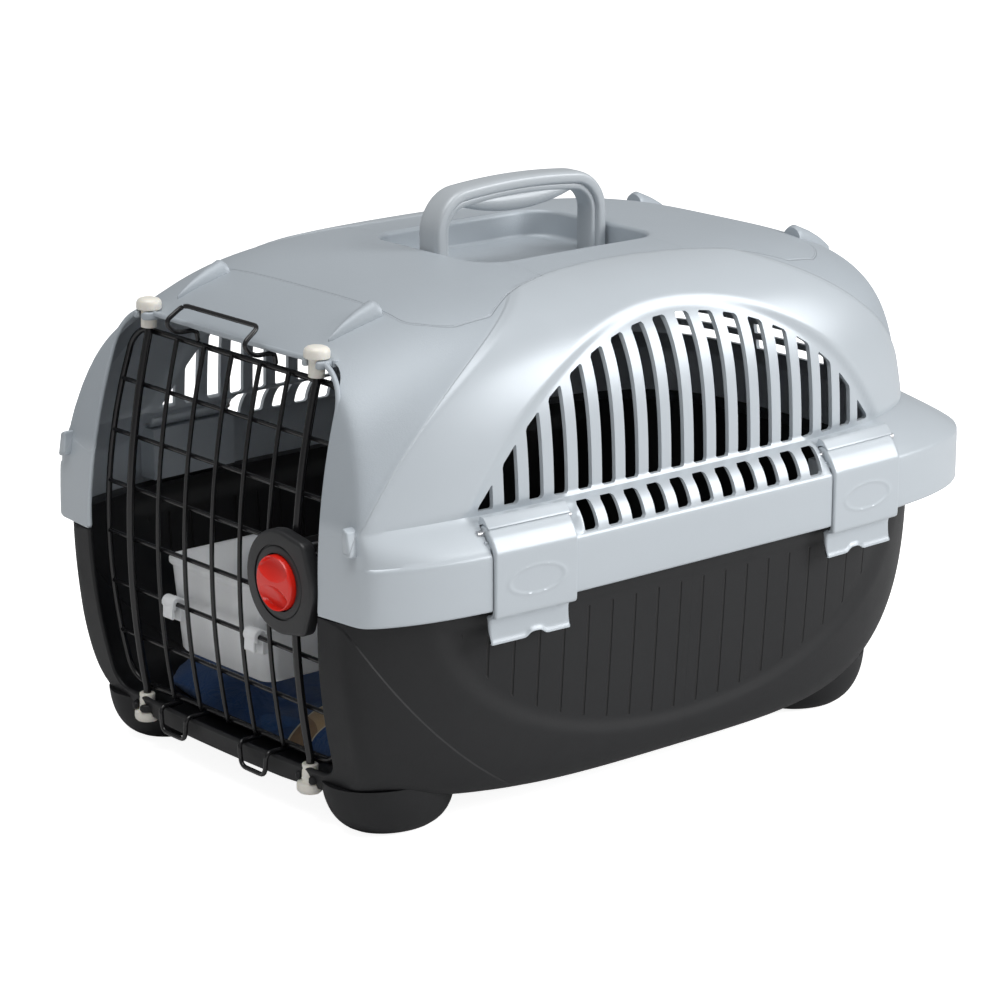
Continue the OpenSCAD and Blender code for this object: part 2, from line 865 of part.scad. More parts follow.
// Sliding plate with a rack over the pinion; the nose goes behind the doorway's edge
module lock_bolt() {
    pitch = 2 * PI * pinion_r / teeth;
    left = -24;
    window = 17;
    rack_z = pinion_r + 1.8;
    y0 = plate_back - channel_t + 0.1;
    y1 = y0 + bolt_t;
    nose = bolt_rest - lock_x;
    nose_cut = 7;
    place() color([0.12, 0.12, 0.13]) {
        at_lock(y0, y1) polygon([
            [left, -bolt_h], [nose - nose_cut, -bolt_h], [nose, nose_cut - bolt_h],
            [nose, bolt_h - nose_cut], [nose - nose_cut, bolt_h],
            [left, bolt_h], [left, rack_z], [8, rack_z], [8, -rack_z], [-window, -rack_z],
            [-window, rack_z - 1], [left, rack_z - 1]
        ]);
        for (k = [-5 : 1])
            at_lock(y0, y1) translate([(k + 0.5) * pitch, rack_z]) tooth(-1);
    }
}

// ---------- bowl and cushion ----------

bowl_row = bar_bottom + 2 * row_pitch;
bowl_top = bowl_row + 27;
hook_w = 12;
hook_gap = 3 * upright_pitch;
hook_x = (hook_w - upright_pitch) / 2 + wire_r + 0.8;
bowl_x = hook_x - 6;
bowl_front = arc_y(row_arc, bowl_row) + wire_r + 2.6;
bowl_wall = 2;
bowl_corner = 8;

module bowl_block(d, h) {
    size = [bowl_w - 2 * d, bowl_d - 2 * d];
    rounded_block(size, bowl_corner - d, h);
}

module bowl() {
    place() color([0.86, 0.87, 0.88]) translate([bowl_x, bowl_front + bowl_d / 2, bowl_top - bowl_h]) difference() {
        union() {
            bowl_block(2, bowl_h);
            translate([0, 0, bowl_h - 4]) bowl_block(0, 4);
        }
        translate([0, 0, bowl_wall]) bowl_block(2 + bowl_wall, bowl_h);
    }
}

// Two hooks that go over the cross wire and are riveted to the bowl's front
module bowl_hooks() {
    y = arc_y(row_arc, bowl_row);
    gap = wire_r + free;
    face = bowl_front + 2;
    place() color([0.92, 0.92, 0.91])
        for (x = [hook_x - hook_gap / 2, hook_x + hook_gap / 2])
            translate([x - hook_w / 2, 0, 0]) rotate([90, 0, 90]) linear_extrude(hook_w) difference() {
                union() {
                    translate([y, bowl_row]) circle(gap + 2.2);
                    translate([y, bowl_row - 12]) square([face - y, 14]);
                    translate([y - gap - 2.2, bowl_row - 8]) square([2.2, 8]);
                }
                translate([y, bowl_row]) circle(gap);
                translate([y - gap, bowl_row - 20]) square([2 * gap, 20]);
            }
}

// A plain pad that follows the tray's inside, with rounded edges
module cushion() {
    low = -0.988 * (tray_deep - wall) + cushion_lift;
    soft = 9;
    function edge(u) = soft * (1 - sqrt(max(0, 1 - pow(2 * u - 1, 4))));
    levels = 8;
    place() color([0.16, 0.24, 0.42]) loft([
        for (k = [0 : levels])
            let (u = k / levels, z = low + u * cushion_h, in = wall + 4 + edge(u))
                ring(
                    tray_a(z, in), min(tray_f(z, in), cushion_front - edge(u)), tray_b(z, in),
                    wall_n, z
                )
    ]);
}

base_tray();
top_shell();
carry_handle();
clip(1, -1);  // clip_right_front
clip(1, 1);  // clip_right_rear
clip(-1, -1);  // clip_left_front
clip(-1, 1);  // clip_left_rear
clip_pins();
door_frame();
door_rows();
door_uprights();
pivot_rod(-1);  // pivot_rod_left
pivot_rod(1);  // pivot_rod_right
door_top_stop();
door_bottom_stops();
bush(-1, 1);  // bush_top_left
bush(1, 1);  // bush_top_right
bush(-1, -1);  // bush_bottom_left
bush(1, -1);  // bush_bottom_right
lock_housing();
lock_back();
lock_screws();
lock_knob();
lock_bolt();
bowl();
bowl_hooks();
cushion();
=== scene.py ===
"""Pet transport carrier: the looks of the cabin, its wire door, lock, clips, bowl and cushion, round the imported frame."""

import math

import bpy
import numpy as np
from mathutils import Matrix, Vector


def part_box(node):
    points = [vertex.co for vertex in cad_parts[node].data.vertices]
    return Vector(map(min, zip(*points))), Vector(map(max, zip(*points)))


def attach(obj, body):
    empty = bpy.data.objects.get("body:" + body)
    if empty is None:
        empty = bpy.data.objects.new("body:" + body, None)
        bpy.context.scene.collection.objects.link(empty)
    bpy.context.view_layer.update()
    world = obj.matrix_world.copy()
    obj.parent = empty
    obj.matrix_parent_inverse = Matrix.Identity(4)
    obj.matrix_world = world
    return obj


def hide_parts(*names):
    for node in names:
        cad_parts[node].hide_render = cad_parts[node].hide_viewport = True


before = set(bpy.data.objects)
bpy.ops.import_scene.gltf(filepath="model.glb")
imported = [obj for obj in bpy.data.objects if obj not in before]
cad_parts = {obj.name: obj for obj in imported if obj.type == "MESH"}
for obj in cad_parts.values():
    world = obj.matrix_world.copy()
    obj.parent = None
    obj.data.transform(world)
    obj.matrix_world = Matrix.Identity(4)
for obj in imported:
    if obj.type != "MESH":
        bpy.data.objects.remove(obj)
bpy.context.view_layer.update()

# Studio: a pale floor that runs back a long way, a bright room, and three soft lights.
# The camera stands in front and to the right, a little above the roof.
camera = bpy.data.cameras.new("camera")
camera.lens = 123.85
camera.sensor_width = 36.0
camera_stand = bpy.data.objects.new("camera", camera)
camera_stand.location = (1.6523, -1.4272, 0.7602)
camera_stand.rotation_euler = (math.radians(74.18), 0.0, math.radians(49.68))
bpy.context.scene.collection.objects.link(camera_stand)
bpy.context.scene.camera = camera_stand
bpy.context.scene.view_settings.view_transform = "Standard"


def soft_light(name, place, aim, size, watts, tint=(1.0, 1.0, 1.0)):
    """A square area light of the given side, turned so that its face looks at aim."""
    lamp = bpy.data.lights.new(name, "AREA")
    lamp.size = size
    lamp.energy = watts
    lamp.color = tint
    stand = bpy.data.objects.new(name, lamp)
    away = np.array(place, float) - np.array(aim, float)
    stand.location = place
    stand.rotation_euler = (
        math.atan2(math.hypot(away[0], away[1]), away[2]),
        0.0,
        math.atan2(away[0], -away[1]),
    )
    bpy.context.scene.collection.objects.link(stand)


soft_light("key_light", (2.0, 1.7, 1.3), (0.0, 0.05, 0.15), 1.5, 53.0)
soft_light("top_light", (0.35, -0.6, 2.5), (0.0, -0.05, 0.2), 1.9, 42.0)
soft_light("front_light", (1.6, -1.6, 0.9), (0.0, -0.1, 0.15), 1.4, 1.2)


def seen_by_camera(tree):
    """One on rays that come straight from the camera, and zero on the light that falls on things."""
    return tree.nodes.new("ShaderNodeLightPath").outputs["Is Camera Ray"]


world = bpy.data.worlds.new("bright_room")
world.use_nodes = True
bpy.context.scene.world = world
room = world.node_tree.nodes["Background"]
room.inputs["Color"].default_value = (1.0, 1.0, 1.0, 1.0)
room_level = world.node_tree.nodes.new("ShaderNodeMapRange")
room_level.inputs["To Min"].default_value = 0.245
room_level.inputs["To Max"].default_value = 1.0
world.node_tree.links.new(seen_by_camera(world.node_tree), room_level.inputs["Value"])
world.node_tree.links.new(room_level.outputs[0], room.inputs["Strength"])

floor_mesh = bpy.data.meshes.new("floor")
floor_mesh.from_pydata([(-30, -30, 0), (30, -30, 0), (30, 30, 0), (-30, 30, 0)], [], [(0, 1, 2, 3)])
floor = bpy.data.objects.new("floor", floor_mesh)
bpy.context.scene.collection.objects.link(floor)
floor_paint = bpy.data.materials.new("floor_paint")
floor_paint.use_nodes = True
floor_shader = floor_paint.node_tree.nodes["Principled BSDF"]
floor_shader.inputs["Base Color"].default_value = (0.80, 0.80, 0.80, 1.0)
floor_shader.inputs["Roughness"].default_value = 0.9
floor_shader.inputs["Specular IOR Level"].default_value = 0.0
floor_shader.inputs["Emission Color"].default_value = (1.0, 1.0, 1.0, 1.0)
floor_level = floor_paint.node_tree.nodes.new("ShaderNodeMath")
floor_level.operation = "MULTIPLY"
floor_level.inputs[1].default_value = 0.90
floor_paint.node_tree.links.new(seen_by_camera(floor_paint.node_tree), floor_level.inputs[0])
floor_paint.node_tree.links.new(floor_level.outputs[0], floor_shader.inputs["Emission Strength"])
floor_mesh.materials.append(floor_paint)

# Tray: the lower half of the cabin, injection moulded in charcoal plastic.
# It has a flange under the rim, a half-ellipse panel with grooves on each side, and four round feet.
rim_rear = 287.5
shell_low, shell_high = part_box("top_shell")
origin = np.array([0.0, shell_high.y - rim_rear * 0.001, shell_low.z])
tray_deep = 137.0
tray_half, tray_front, tray_rear = 174.0, 298.0, 262.0
wall = 3.0
wall_power = 3.8
around = 520


def grid_faces(rows, cols, closed=True):
    """Four-sided faces of a grid whose point number is row times cols plus column; closed joins the last column to the first."""
    row = np.arange(rows - 1)[:, None]
    col = np.arange(cols if closed else cols - 1)[None, :]
    after = (col + 1) % cols
    quads = np.stack([row * cols + col, row * cols + after, (row + 1) * cols + after, (row + 1) * cols + col], -1)
    return quads.reshape(-1, 4).tolist()


def loft_solid(rings):
    """A closed solid through rings of equal point count: rings is (rows, points, 3), lowest first and turning left."""
    rows, cols = rings.shape[:2]
    low = list(range(cols - 1, -1, -1))
    high = list(range((rows - 1) * cols, rows * cols))
    return rings.reshape(-1, 3), grid_faces(rows, cols) + [low, high]


def make_piece(name, points, faces, crease=35.0):
    """A mesh from points in millimetres, measured from the lower edge of the rim at the cabin's middle."""
    mesh = bpy.data.meshes.new(name)
    mesh.from_pydata((np.asarray(points) * 0.001 + origin).tolist(), [], faces)
    mesh.validate()
    mesh.shade_smooth()
    mesh.set_sharp_from_angle(angle=math.radians(crease))
    made = bpy.data.objects.new(name, mesh)
    bpy.context.scene.collection.objects.link(made)
    return made


def join_solids(*solids):
    """Lists several (points, faces) solids as one."""
    points, faces, start = [], [], 0
    for some_points, some_faces in solids:
        points.append(np.asarray(some_points))
        faces.extend([[start + i for i in face] for face in some_faces])
        start += len(some_points)
    return np.concatenate(points), faces


def carve(body, points, faces, action="DIFFERENCE", crease=35.0):
    """Cuts a solid out of a piece, or adds it, and keeps the result as the piece's own mesh."""
    tool = make_piece("tool", points, faces)
    step = body.modifiers.new("step", "BOOLEAN")
    step.object = tool
    step.operation = action
    step.solver = "MANIFOLD"
    graph = bpy.context.evaluated_depsgraph_get()
    result = bpy.data.meshes.new_from_object(body.evaluated_get(graph))
    body.modifiers.clear()
    old = body.data
    body.data = result
    bpy.data.meshes.remove(old)
    tool_mesh = tool.data
    bpy.data.objects.remove(tool)
    bpy.data.meshes.remove(tool_mesh)
    result.shade_smooth()
    result.set_sharp_from_angle(angle=math.radians(crease))


def even_directions(count, half, front, rear, power):
    """Directions whose rays meet a super-ellipse at equal steps along its outline."""
    fine = np.linspace(-math.pi / 2, 1.5 * math.pi, 20001)
    radius = reach(fine, half, front, rear, power)
    x, y = radius * np.cos(fine), radius * np.sin(fine)
    run = np.r_[0, np.cumsum(np.hypot(np.diff(x), np.diff(y)))]
    return np.interp((np.arange(count) + 0.5) / count * run[-1], run, fine)


def reach(angle, half, front, rear, power):
    """Distance to a super-ellipse: one over the power-th root of |cos/half|^power + |sin/length|^power."""
    length = np.where(np.sin(angle) > 0, rear, front)
    return (np.abs(np.cos(angle) / half) ** power + np.abs(np.sin(angle) / length) ** power) ** (-1 / power)


def front_face(x, z):
    """The cabin's front: a shallow hollow that runs back with the square of the height and of the width."""
    return -259.0 + z**2 / 720 + x**2 / 2880


directions = even_directions(around, 168, 262, 268, wall_power)


def cabin_rings(heights, half, front, rear, power, inset_front):
    """Rings of a cabin body: a super-ellipse at each height, cut off by the front face, with that edge rounded."""
    columns = [np.broadcast_to(np.asarray(v, float), np.shape(heights))[:, None] for v in (half, front, rear, power, inset_front)]
    radius = reach(directions[None, :], *columns[:4])
    x = radius * np.cos(directions)
    y = radius * np.sin(directions)
    z = np.broadcast_to(np.asarray(heights, float)[:, None], x.shape)
    cut = front_face(x, z) + columns[4]
    y = np.maximum(y, cut)
    rings = np.stack([x, y, z], -1)
    near = np.clip(1 - np.abs(y - cut - 1) / 7, 0, 1)[..., None] * (np.abs(x) > 60)[..., None]
    for _ in range(6):
        mean = (np.roll(rings, 1, 1) + np.roll(rings, -1, 1)) / 2
        rings = rings + near * 0.6 * (mean - rings)
    return rings


def surface_normals(rings):
    """Outward normals of a ring surface: the cross product of its steps round and up."""
    round_step = np.roll(rings, -1, 1) - np.roll(rings, 1, 1)
    up_step = np.gradient(rings, axis=0)
    normal = np.cross(round_step, up_step)
    return normal / np.maximum(np.linalg.norm(normal, axis=-1, keepdims=True), 1e-9)


def ease(low, high, value):
    """Smooth step: 3t^2 - 2t^3 between low and high."""
    t = np.clip((value - low) / (high - low), 0, 1)
    return t * t * (3 - 2 * t)


def tray_sizes(z, inset):
    """Half width and half lengths of the tray at depth z, drawn in by inset, closing at the floor."""
    t = np.clip(-z / (tray_deep - inset), 0, 1)
    return (
        (tray_half - inset) * (1 - 0.055 * t**1.3) * np.maximum(1 - t**20, 1e-9) ** (1 / 7),
        (tray_front - inset) * np.maximum(1 - t**7, 1e-9) ** (1 / 2.5),
        (tray_rear - inset) * np.maximum(1 - t**3.2, 1e-9) ** (1 / 5),
    )


def side_panel(y, z):
    """Signed distance, in millimetres, outside the side panel: a half ellipse with a straight top."""
    scale = np.sqrt((y / 192) ** 2 + (z / 104) ** 2)
    ellipse = (scale - 1) * 104
    return np.maximum(ellipse, z + 11)


def tray_rings(inset, floor_rows):
    """The tray's rings from its floor to just under the rim, with the side panels pushed in."""
    deep = tray_deep - inset
    flat = np.linspace(0.30, 0.90, floor_rows)
    depth = np.r_[-deep * (1 - flat**7) ** (1 / 20), np.linspace(-0.966 * deep, -1.0, 84)]
    rings = cabin_rings(depth, *tray_sizes(depth, inset), wall_power, inset)
    side = ease(95, 120, np.abs(rings[..., 0])) * (rings[..., 1] > -205)
    push = 2.6 * (1 - ease(-4, 7, side_panel(rings[..., 1], rings[..., 2]))) * side
    return rings - surface_normals(rings) * push[..., None]


outer = tray_rings(0, 10)
flange = cabin_rings(np.array([0.0, 0.4, 3.6, 4.0]), [179.4, 180, 180, 179.4], [282, 282.5, 282.5, 282], [282, 282.5, 282.5, 282], [4.87] * 4, 4.5)
tray = make_piece("tray_body", *loft_solid(np.concatenate([outer, flange])))


def rounded_outline(discs, spacing=1.5):
    """Outline round a set of discs (x, z, radius): in each direction, the disc that reaches furthest gives the point."""
    turn = np.linspace(0, 2 * math.pi, 2400, endpoint=False)
    out = np.stack([np.cos(turn), np.sin(turn)], -1)
    disc = np.asarray(discs, float)
    best = np.argmax(out @ disc[:, :2].T + disc[:, 2], axis=1)
    edge = disc[best, :2] + disc[best, 2:3] * out
    return even_steps(edge, spacing)


def even_steps(outline, spacing):
    """The same closed outline with points at equal steps along it."""
    closed = np.concatenate([outline, outline[:1]])
    run = np.r_[0, np.cumsum(np.linalg.norm(np.diff(closed, axis=0), axis=1))]
    count = max(int(round(run[-1] / spacing)), 8)
    at = np.arange(count) / count * run[-1]
    return np.stack([np.interp(at, run, closed[:, i]) for i in range(2)], -1)


def rounded_prism(outline, start, end, radius=0.0, steps=4):
    """A flat outline carried from start to end, drawn in at both ends along a quarter circle: (u, v, along) points."""
    turn = np.linspace(0, math.pi / 2, steps + 1)
    if radius > 0:
        drop = np.r_[radius * (1 - np.sin(turn)), (radius * (1 - np.sin(turn)))[::-1]]
        along = np.r_[start + radius * (1 - np.cos(turn)), end - radius * (1 - np.cos(turn[::-1]))]
    else:
        drop, along = np.zeros(2), np.array([start, end])
    step = np.roll(outline, -1, 0) - np.roll(outline, 1, 0)
    outward = np.stack([step[:, 1], -step[:, 0]], -1)
    outward /= np.linalg.norm(outward, axis=1, keepdims=True)
    flat = outline[None] - outward[None] * drop[:, None, None]
    lift = np.broadcast_to(along[:, None, None], flat.shape[:2] + (1,))
    return loft_solid(np.concatenate([flat, lift], -1))


def stand_up(solid):
    """Turns a prism drawn in x and z so that it runs along y."""
    points, faces = solid
    return points[:, [0, 2, 1]] * [1, 1, 1], [face[::-1] for face in faces]


doorway_discs = [(s * 87, 115, 28) for s in (-1, 1)] + [(s * 93, 12, 28) for s in (-1, 1)] + [(s * 103, -94, 14) for s in (-1, 1)]
doorway = rounded_outline(doorway_discs, 2.0)
doorway_tool = stand_up(rounded_prism(doorway, -300, -199))



def foot(side, end):
    """A foot: an oval lobe under the floor, drawn in along a quarter ellipse down to a small flat."""
    turn = np.linspace(0, 2 * math.pi, 72, endpoint=False)
    fall = np.linspace(0, 1, 18)
    draw = 0.42 + 0.58 * (1 - fall**2.4) ** (1 / 2.2)
    centre_y = -197.0 if end < 0 else 161.0
    x = side * (113 + 34 * draw[:, None] * np.cos(turn))
    y = centre_y + 44 * draw[:, None] * np.sin(turn) - 4 * end * fall[:, None]
    z = np.broadcast_to((-112 - 34 * fall)[:, None], x.shape)
    rings = np.stack([x, y, z], -1)[::-1]
    return loft_solid(rings if side > 0 else rings[:, ::-1])


for side in (-1, 1):
    for end in (-1, 1):
        carve(tray, *foot(side, end), action="UNION")
inner = tray_rings(wall, 4)
top_ring = inner[-1] + [0, 0, 8]
carve(tray, *loft_solid(np.concatenate([inner, top_ring[None]])))
carve(tray, *doorway_tool)


def pressed_tube(path, radius, count=14, closed=False):
    """A round bar along a path: at each point a circle square to the way the path runs, with domed ends if it is open."""
    path = np.asarray(path, float)
    if closed:
        along = np.roll(path, -1, 0) - np.roll(path, 1, 0)
    else:
        along = np.gradient(path, axis=0)
    along /= np.linalg.norm(along, axis=1, keepdims=True)
    radii = np.full(len(path), float(radius))
    if not closed:
        dome = np.linspace(0.15, math.pi / 2, 5)[:-1]
        head = path[0] - along[0] * (radius * np.cos(dome))[:, None]
        tail = path[-1] + along[-1] * (radius * np.cos(dome[::-1]))[:, None]
        path = np.concatenate([head, path, tail])
        radii = np.r_[radius * np.sin(dome), radii, radius * np.sin(dome[::-1])]
        along = np.concatenate([np.repeat(along[:1], 4, 0), along, np.repeat(along[-1:], 4, 0)])
    guide = np.array([0.71, 0.62, 0.33])
    side_way = guide - along * (along @ guide)[:, None]
    side_way /= np.linalg.norm(side_way, axis=1, keepdims=True)
    other_way = np.cross(along, side_way)
    turn = np.linspace(0, 2 * math.pi, count, endpoint=False)
    rings = path[:, None] + radii[:, None, None] * (
        side_way[:, None] * np.cos(turn)[None, :, None] + other_way[:, None] * np.sin(turn)[None, :, None]
    )
    if closed:
        rows = len(path)
        row = np.arange(rows)[:, None]
        col = np.arange(count)[None, :]
        nxt, after = (row + 1) % rows, (col + 1) % count
        quads = np.stack([row * count + col, row * count + after, nxt * count + after, nxt * count + col], -1)
        return rings.reshape(-1, 3), quads.reshape(-1, 4).tolist()
    return loft_solid(rings)


bow_centre_y, bow_z = 260.5, -5.0
rod_arc, row_arc, frame_arc, upright_arc = 505.0, 500.9, 500.4, 503.9
bar_top, bar_bottom = 129.5, -101.8
rod_x = 86.0


def bow_y(arc, z):
    """Depth of the door's bow at height z: an arc about a line across the cabin."""
    return bow_centre_y - np.sqrt(arc**2 - (z - bow_z) ** 2)


pivot_top, pivot_low = bow_y(rod_arc, bar_top), bow_y(rod_arc, bar_bottom)
pivot_slope = (pivot_top - pivot_low) / (bar_top - bar_bottom)


def pivot_y(z):
    """Depth of the pivot line at height z: straight through both ends of a rod's bow."""
    return pivot_top + (z - bar_top) * pivot_slope


def eyelet(x, z, gap):
    """A ring that a bush snaps into, open to the front over the given angle, on a short arm from the wall."""
    arc = np.radians(np.linspace(-90 + gap / 2, 270 - gap / 2, 40))
    centre = np.array([x, pivot_y(z + 2.5), z + 2.5])
    path = centre + 7.4 * np.stack([np.cos(arc), np.sin(arc), 0 * arc], -1)
    along = np.gradient(path, axis=0)
    along /= np.linalg.norm(along, axis=1, keepdims=True)
    out = np.cross(along, [0, 0, 1])
    turn = np.linspace(0, 2 * math.pi, 20, endpoint=False)
    across = 1.95 * np.sign(np.cos(turn)) * np.abs(np.cos(turn)) ** 0.6
    up = 2.5 * np.sign(np.sin(turn)) * np.abs(np.sin(turn)) ** 0.6
    grow = np.ones(len(arc))
    grow[[0, -1]], grow[[1, -2]] = 0.55, 0.9
    rings = path[:, None] + grow[:, None, None] * (
        out[:, None] * across[None, :, None] + np.array([0, 0, 1.0]) * up[None, :, None]
    )
    arm_discs = [(x + s * half, centre[1] + rise, 1.6) for half, rise in ((7.4, 7), (8, 16)) for s in (-1, 1)]
    arm = rounded_outline(arm_discs, 1.2)
    return join_solids(loft_solid(rings), rounded_prism(arm, z + 0.2, z + 4.8, 0.8))


eyelet_gap = {-1: 40.0, 1: 94.0}
low_eyelets = [eyelet(s * rod_x, -116.5, eyelet_gap[s]) for s in (-1, 1)]
low_lip = doorway[doorway[:, 1] < -1.0]
start = int(np.argmax(np.linalg.norm(np.diff(np.concatenate([low_lip, low_lip[:1]]), axis=0), axis=1)))
low_lip = np.roll(low_lip, -(start + 1), 0)
lip_path = np.stack([low_lip[:, 0], front_face(low_lip[:, 0], low_lip[:, 1]) + 1.6, low_lip[:, 1]], -1)
tray_trim = make_piece("tray_doorway_edge", *join_solids(pressed_tube(lip_path, 1.6), *low_eyelets))


def mark(piece, name, values):
    """Stores one number per point on a piece, for its material to read."""
    layer = piece.data.attributes.new(name, "FLOAT", "POINT")
    layer.data.foreach_set("value", np.asarray(values, np.float32))


def own_points(piece):
    """A piece's points in millimetres from the rim's lower edge."""
    flat = np.empty(len(piece.data.vertices) * 3, np.float32)
    piece.data.vertices.foreach_get("co", flat)
    return (flat.reshape(-1, 3) - origin) * 1000


grain_group = bpy.data.node_groups.new("moulded_grain", "ShaderNodeTree")
grain_group.interface.new_socket("Grain Size", in_out="INPUT", socket_type="NodeSocketFloat").default_value = 1500.0
grain_group.interface.new_socket("Tone Spread", in_out="INPUT", socket_type="NodeSocketFloat").default_value = 0.05
grain_group.interface.new_socket("Height", in_out="OUTPUT", socket_type="NodeSocketFloat")
grain_group.interface.new_socket("Tone", in_out="OUTPUT", socket_type="NodeSocketFloat")
grain_group.interface.new_socket("Rubbed", in_out="OUTPUT", socket_type="NodeSocketFloat")


def add_node(tree, kind, settings=(), links=()):
    """Adds a node, sets its options and input values, and links sockets into its inputs."""
    node = tree.nodes.new("ShaderNode" + kind)
    for key, value in dict(settings).items():
        if isinstance(key, str) and hasattr(node, key):
            setattr(node, key, value)
        else:
            node.inputs[key].default_value = value
    for key, socket in dict(links).items():
        tree.links.new(socket, node.inputs[key])
    return node


def sums(tree, action, *values, clamp=False):
    """One maths node; numbers are typed in and sockets are linked."""
    node = tree.nodes.new("ShaderNodeMath")
    node.operation = action
    node.use_clamp = clamp
    for i, value in enumerate(values):
        if isinstance(value, (int, float)):
            node.inputs[i].default_value = value
        else:
            tree.links.new(value, node.inputs[i])
    return node.outputs[0]


def build_grain(tree):
    """Fine grain: two sizes of noise for the height, a broad noise for the tone and for the rubbed places."""
    enter = tree.nodes.new("NodeGroupInput")
    leave = tree.nodes.new("NodeGroupOutput")
    place = add_node(tree, "TexCoord").outputs["Object"]
    fine = add_node(tree, "TexNoise", {"Detail": 2.0, "Roughness": 0.6}, {"Vector": place, "Scale": enter.outputs["Grain Size"]})
    half = sums(tree, "MULTIPLY", enter.outputs["Grain Size"], 0.37)
    coarse = add_node(tree, "TexNoise", {"Detail": 1.0, "Roughness": 0.5}, {"Vector": place, "Scale": half})
    both = sums(tree, "ADD", sums(tree, "MULTIPLY", fine.outputs["Fac"], 0.6), sums(tree, "MULTIPLY", coarse.outputs["Fac"], 0.4))
    tree.links.new(both, leave.inputs["Height"])
    broad = add_node(tree, "TexNoise", {"Scale": 9.0, "Detail": 3.0, "Roughness": 0.55}, {"Vector": place})
    spread = sums(tree, "MULTIPLY", sums(tree, "SUBTRACT", broad.outputs["Fac"], 0.5), enter.outputs["Tone Spread"])
    speck = sums(tree, "MULTIPLY", sums(tree, "SUBTRACT", fine.outputs["Fac"], 0.5), enter.outputs["Tone Spread"])
    tree.links.new(sums(tree, "ADD", 1.0, sums(tree, "ADD", spread, speck)), leave.inputs["Tone"])
    rub = add_node(tree, "TexNoise", {"Scale": 34.0, "Detail": 4.0, "Roughness": 0.6}, {"Vector": place})
    tree.links.new(sums(tree, "MULTIPLY", sums(tree, "SUBTRACT", rub.outputs["Fac"], 0.45), 2.0, clamp=True), leave.inputs["Rubbed"])


build_grain(grain_group)


def plastic(name, colour, roughness, grain_size=1500.0, grain_depth=0.00006, spread=0.06, coat=0.0, metallic=0.0):
    """A moulded plastic: returns the material, its tree, its shader and its grain group, with tone, roughness and grain linked."""
    made = bpy.data.materials.new(name)
    made.use_nodes = True
    tree = made.node_tree
    shader = tree.nodes["Principled BSDF"]
    shader.inputs["Metallic"].default_value = metallic
    shader.inputs["Coat Weight"].default_value = coat
    shader.inputs["Coat Roughness"].default_value = 0.18
    grain = tree.nodes.new("ShaderNodeGroup")
    grain.node_tree = grain_group
    grain.inputs["Grain Size"].default_value = grain_size
    grain.inputs["Tone Spread"].default_value = spread
    tint = add_node(tree, "MixRGB", {"blend_type": "MULTIPLY", 0: 1.0, 1: (*colour, 1.0)})
    shade = add_node(tree, "CombineColor")
    for channel in range(3):
        tree.links.new(grain.outputs["Tone"], shade.inputs[channel])
    tree.links.new(shade.outputs[0], tint.inputs[2])
    tree.links.new(tint.outputs[0], shader.inputs["Base Color"])
    rough = sums(tree, "ADD", sums(tree, "MULTIPLY", grain.outputs["Rubbed"], 0.08), roughness)
    tree.links.new(rough, shader.inputs["Roughness"])
    bump = add_node(tree, "Bump", {"Strength": 1.0, "Distance": grain_depth}, {"Height": grain.outputs["Height"]})
    tree.links.new(bump.outputs["Normal"], shader.inputs["Normal"])
    return made, tree, shader, grain, bump, rough


def band(tree, value, low, high):
    """Smooth step of a socket between two values."""
    node = add_node(tree, "MapRange", {"interpolation_type": "SMOOTHSTEP", 1: low, 2: high}, {0: value})
    return node.outputs[0]


def attribute(tree, name):
    """Reads one of a piece's stored numbers."""
    return add_node(tree, "Attribute", {"attribute_name": name}).outputs["Fac"]


tray_plastic, tree, shader, grain, grain_bump, rough = plastic("tray_plastic", (0.0068, 0.0072, 0.0086), 0.55, 1300, 0.00009, 0.25)
shader.inputs["Specular IOR Level"].default_value = 0.4
panel = attribute(tree, "panel")
place = add_node(tree, "SeparateXYZ", links={0: add_node(tree, "TexCoord").outputs["Object"]})
across = sums(tree, "ADD", sums(tree, "MULTIPLY", place.outputs[1], 1000.0), -float(origin[1]) * 1000 + 9.5)
wave = sums(tree, "ABSOLUTE", sums(tree, "SUBTRACT", sums(tree, "PINGPONG", across, 9.5), 0.0))
groove = sums(tree, "SUBTRACT", 1.0, band(tree, wave, 0.35, 1.0))
inside = sums(tree, "SUBTRACT", 1.0, band(tree, panel, -5.5, -4.5))
groove = sums(tree, "MULTIPLY", groove, inside)
seam = sums(tree, "SUBTRACT", 1.0, band(tree, attribute(tree, "seam"), -0.5, 0.8))
relief = sums(tree, "SUBTRACT", seam, sums(tree, "MULTIPLY", groove, 1.6))
relief_bump = add_node(tree, "Bump", {"Strength": 1.0, "Distance": 0.0009}, {"Height": relief, "Normal": grain_bump.outputs["Normal"]})
tree.links.new(relief_bump.outputs["Normal"], shader.inputs["Normal"])
base = shader.inputs["Base Color"].links[0].from_socket
# Painted shade: the colour inside the side panels' grooves is multiplied by a quarter, a shadow painted into the
# recesses.
groove_painted_shade = add_node(tree, "MixRGB", {"blend_type": "MULTIPLY", 2: (0.25, 0.25, 0.25, 1.0)}, {0: groove, 1: base})
tree.links.new(groove_painted_shade.outputs[0], shader.inputs["Base Color"])

for made in (tray, tray_trim):
    spots = own_points(made)
    outside = (np.abs(spots[:, 0]) > 100) & (spots[:, 2] < 0)
    mark(made, "panel", np.where(outside, side_panel(spots[:, 1], spots[:, 2]), 50.0))
    seam_gap = np.hypot(spots[:, 1], (spots[:, 2] - 190) * 0.86) - 302
    mark(made, "seam", np.where(outside & (spots[:, 1] < 0), -seam_gap, -50.0))
    made.data.materials.clear()
    made.data.materials.append(tray_plastic)
    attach(made, "cabin")
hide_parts("base_tray")

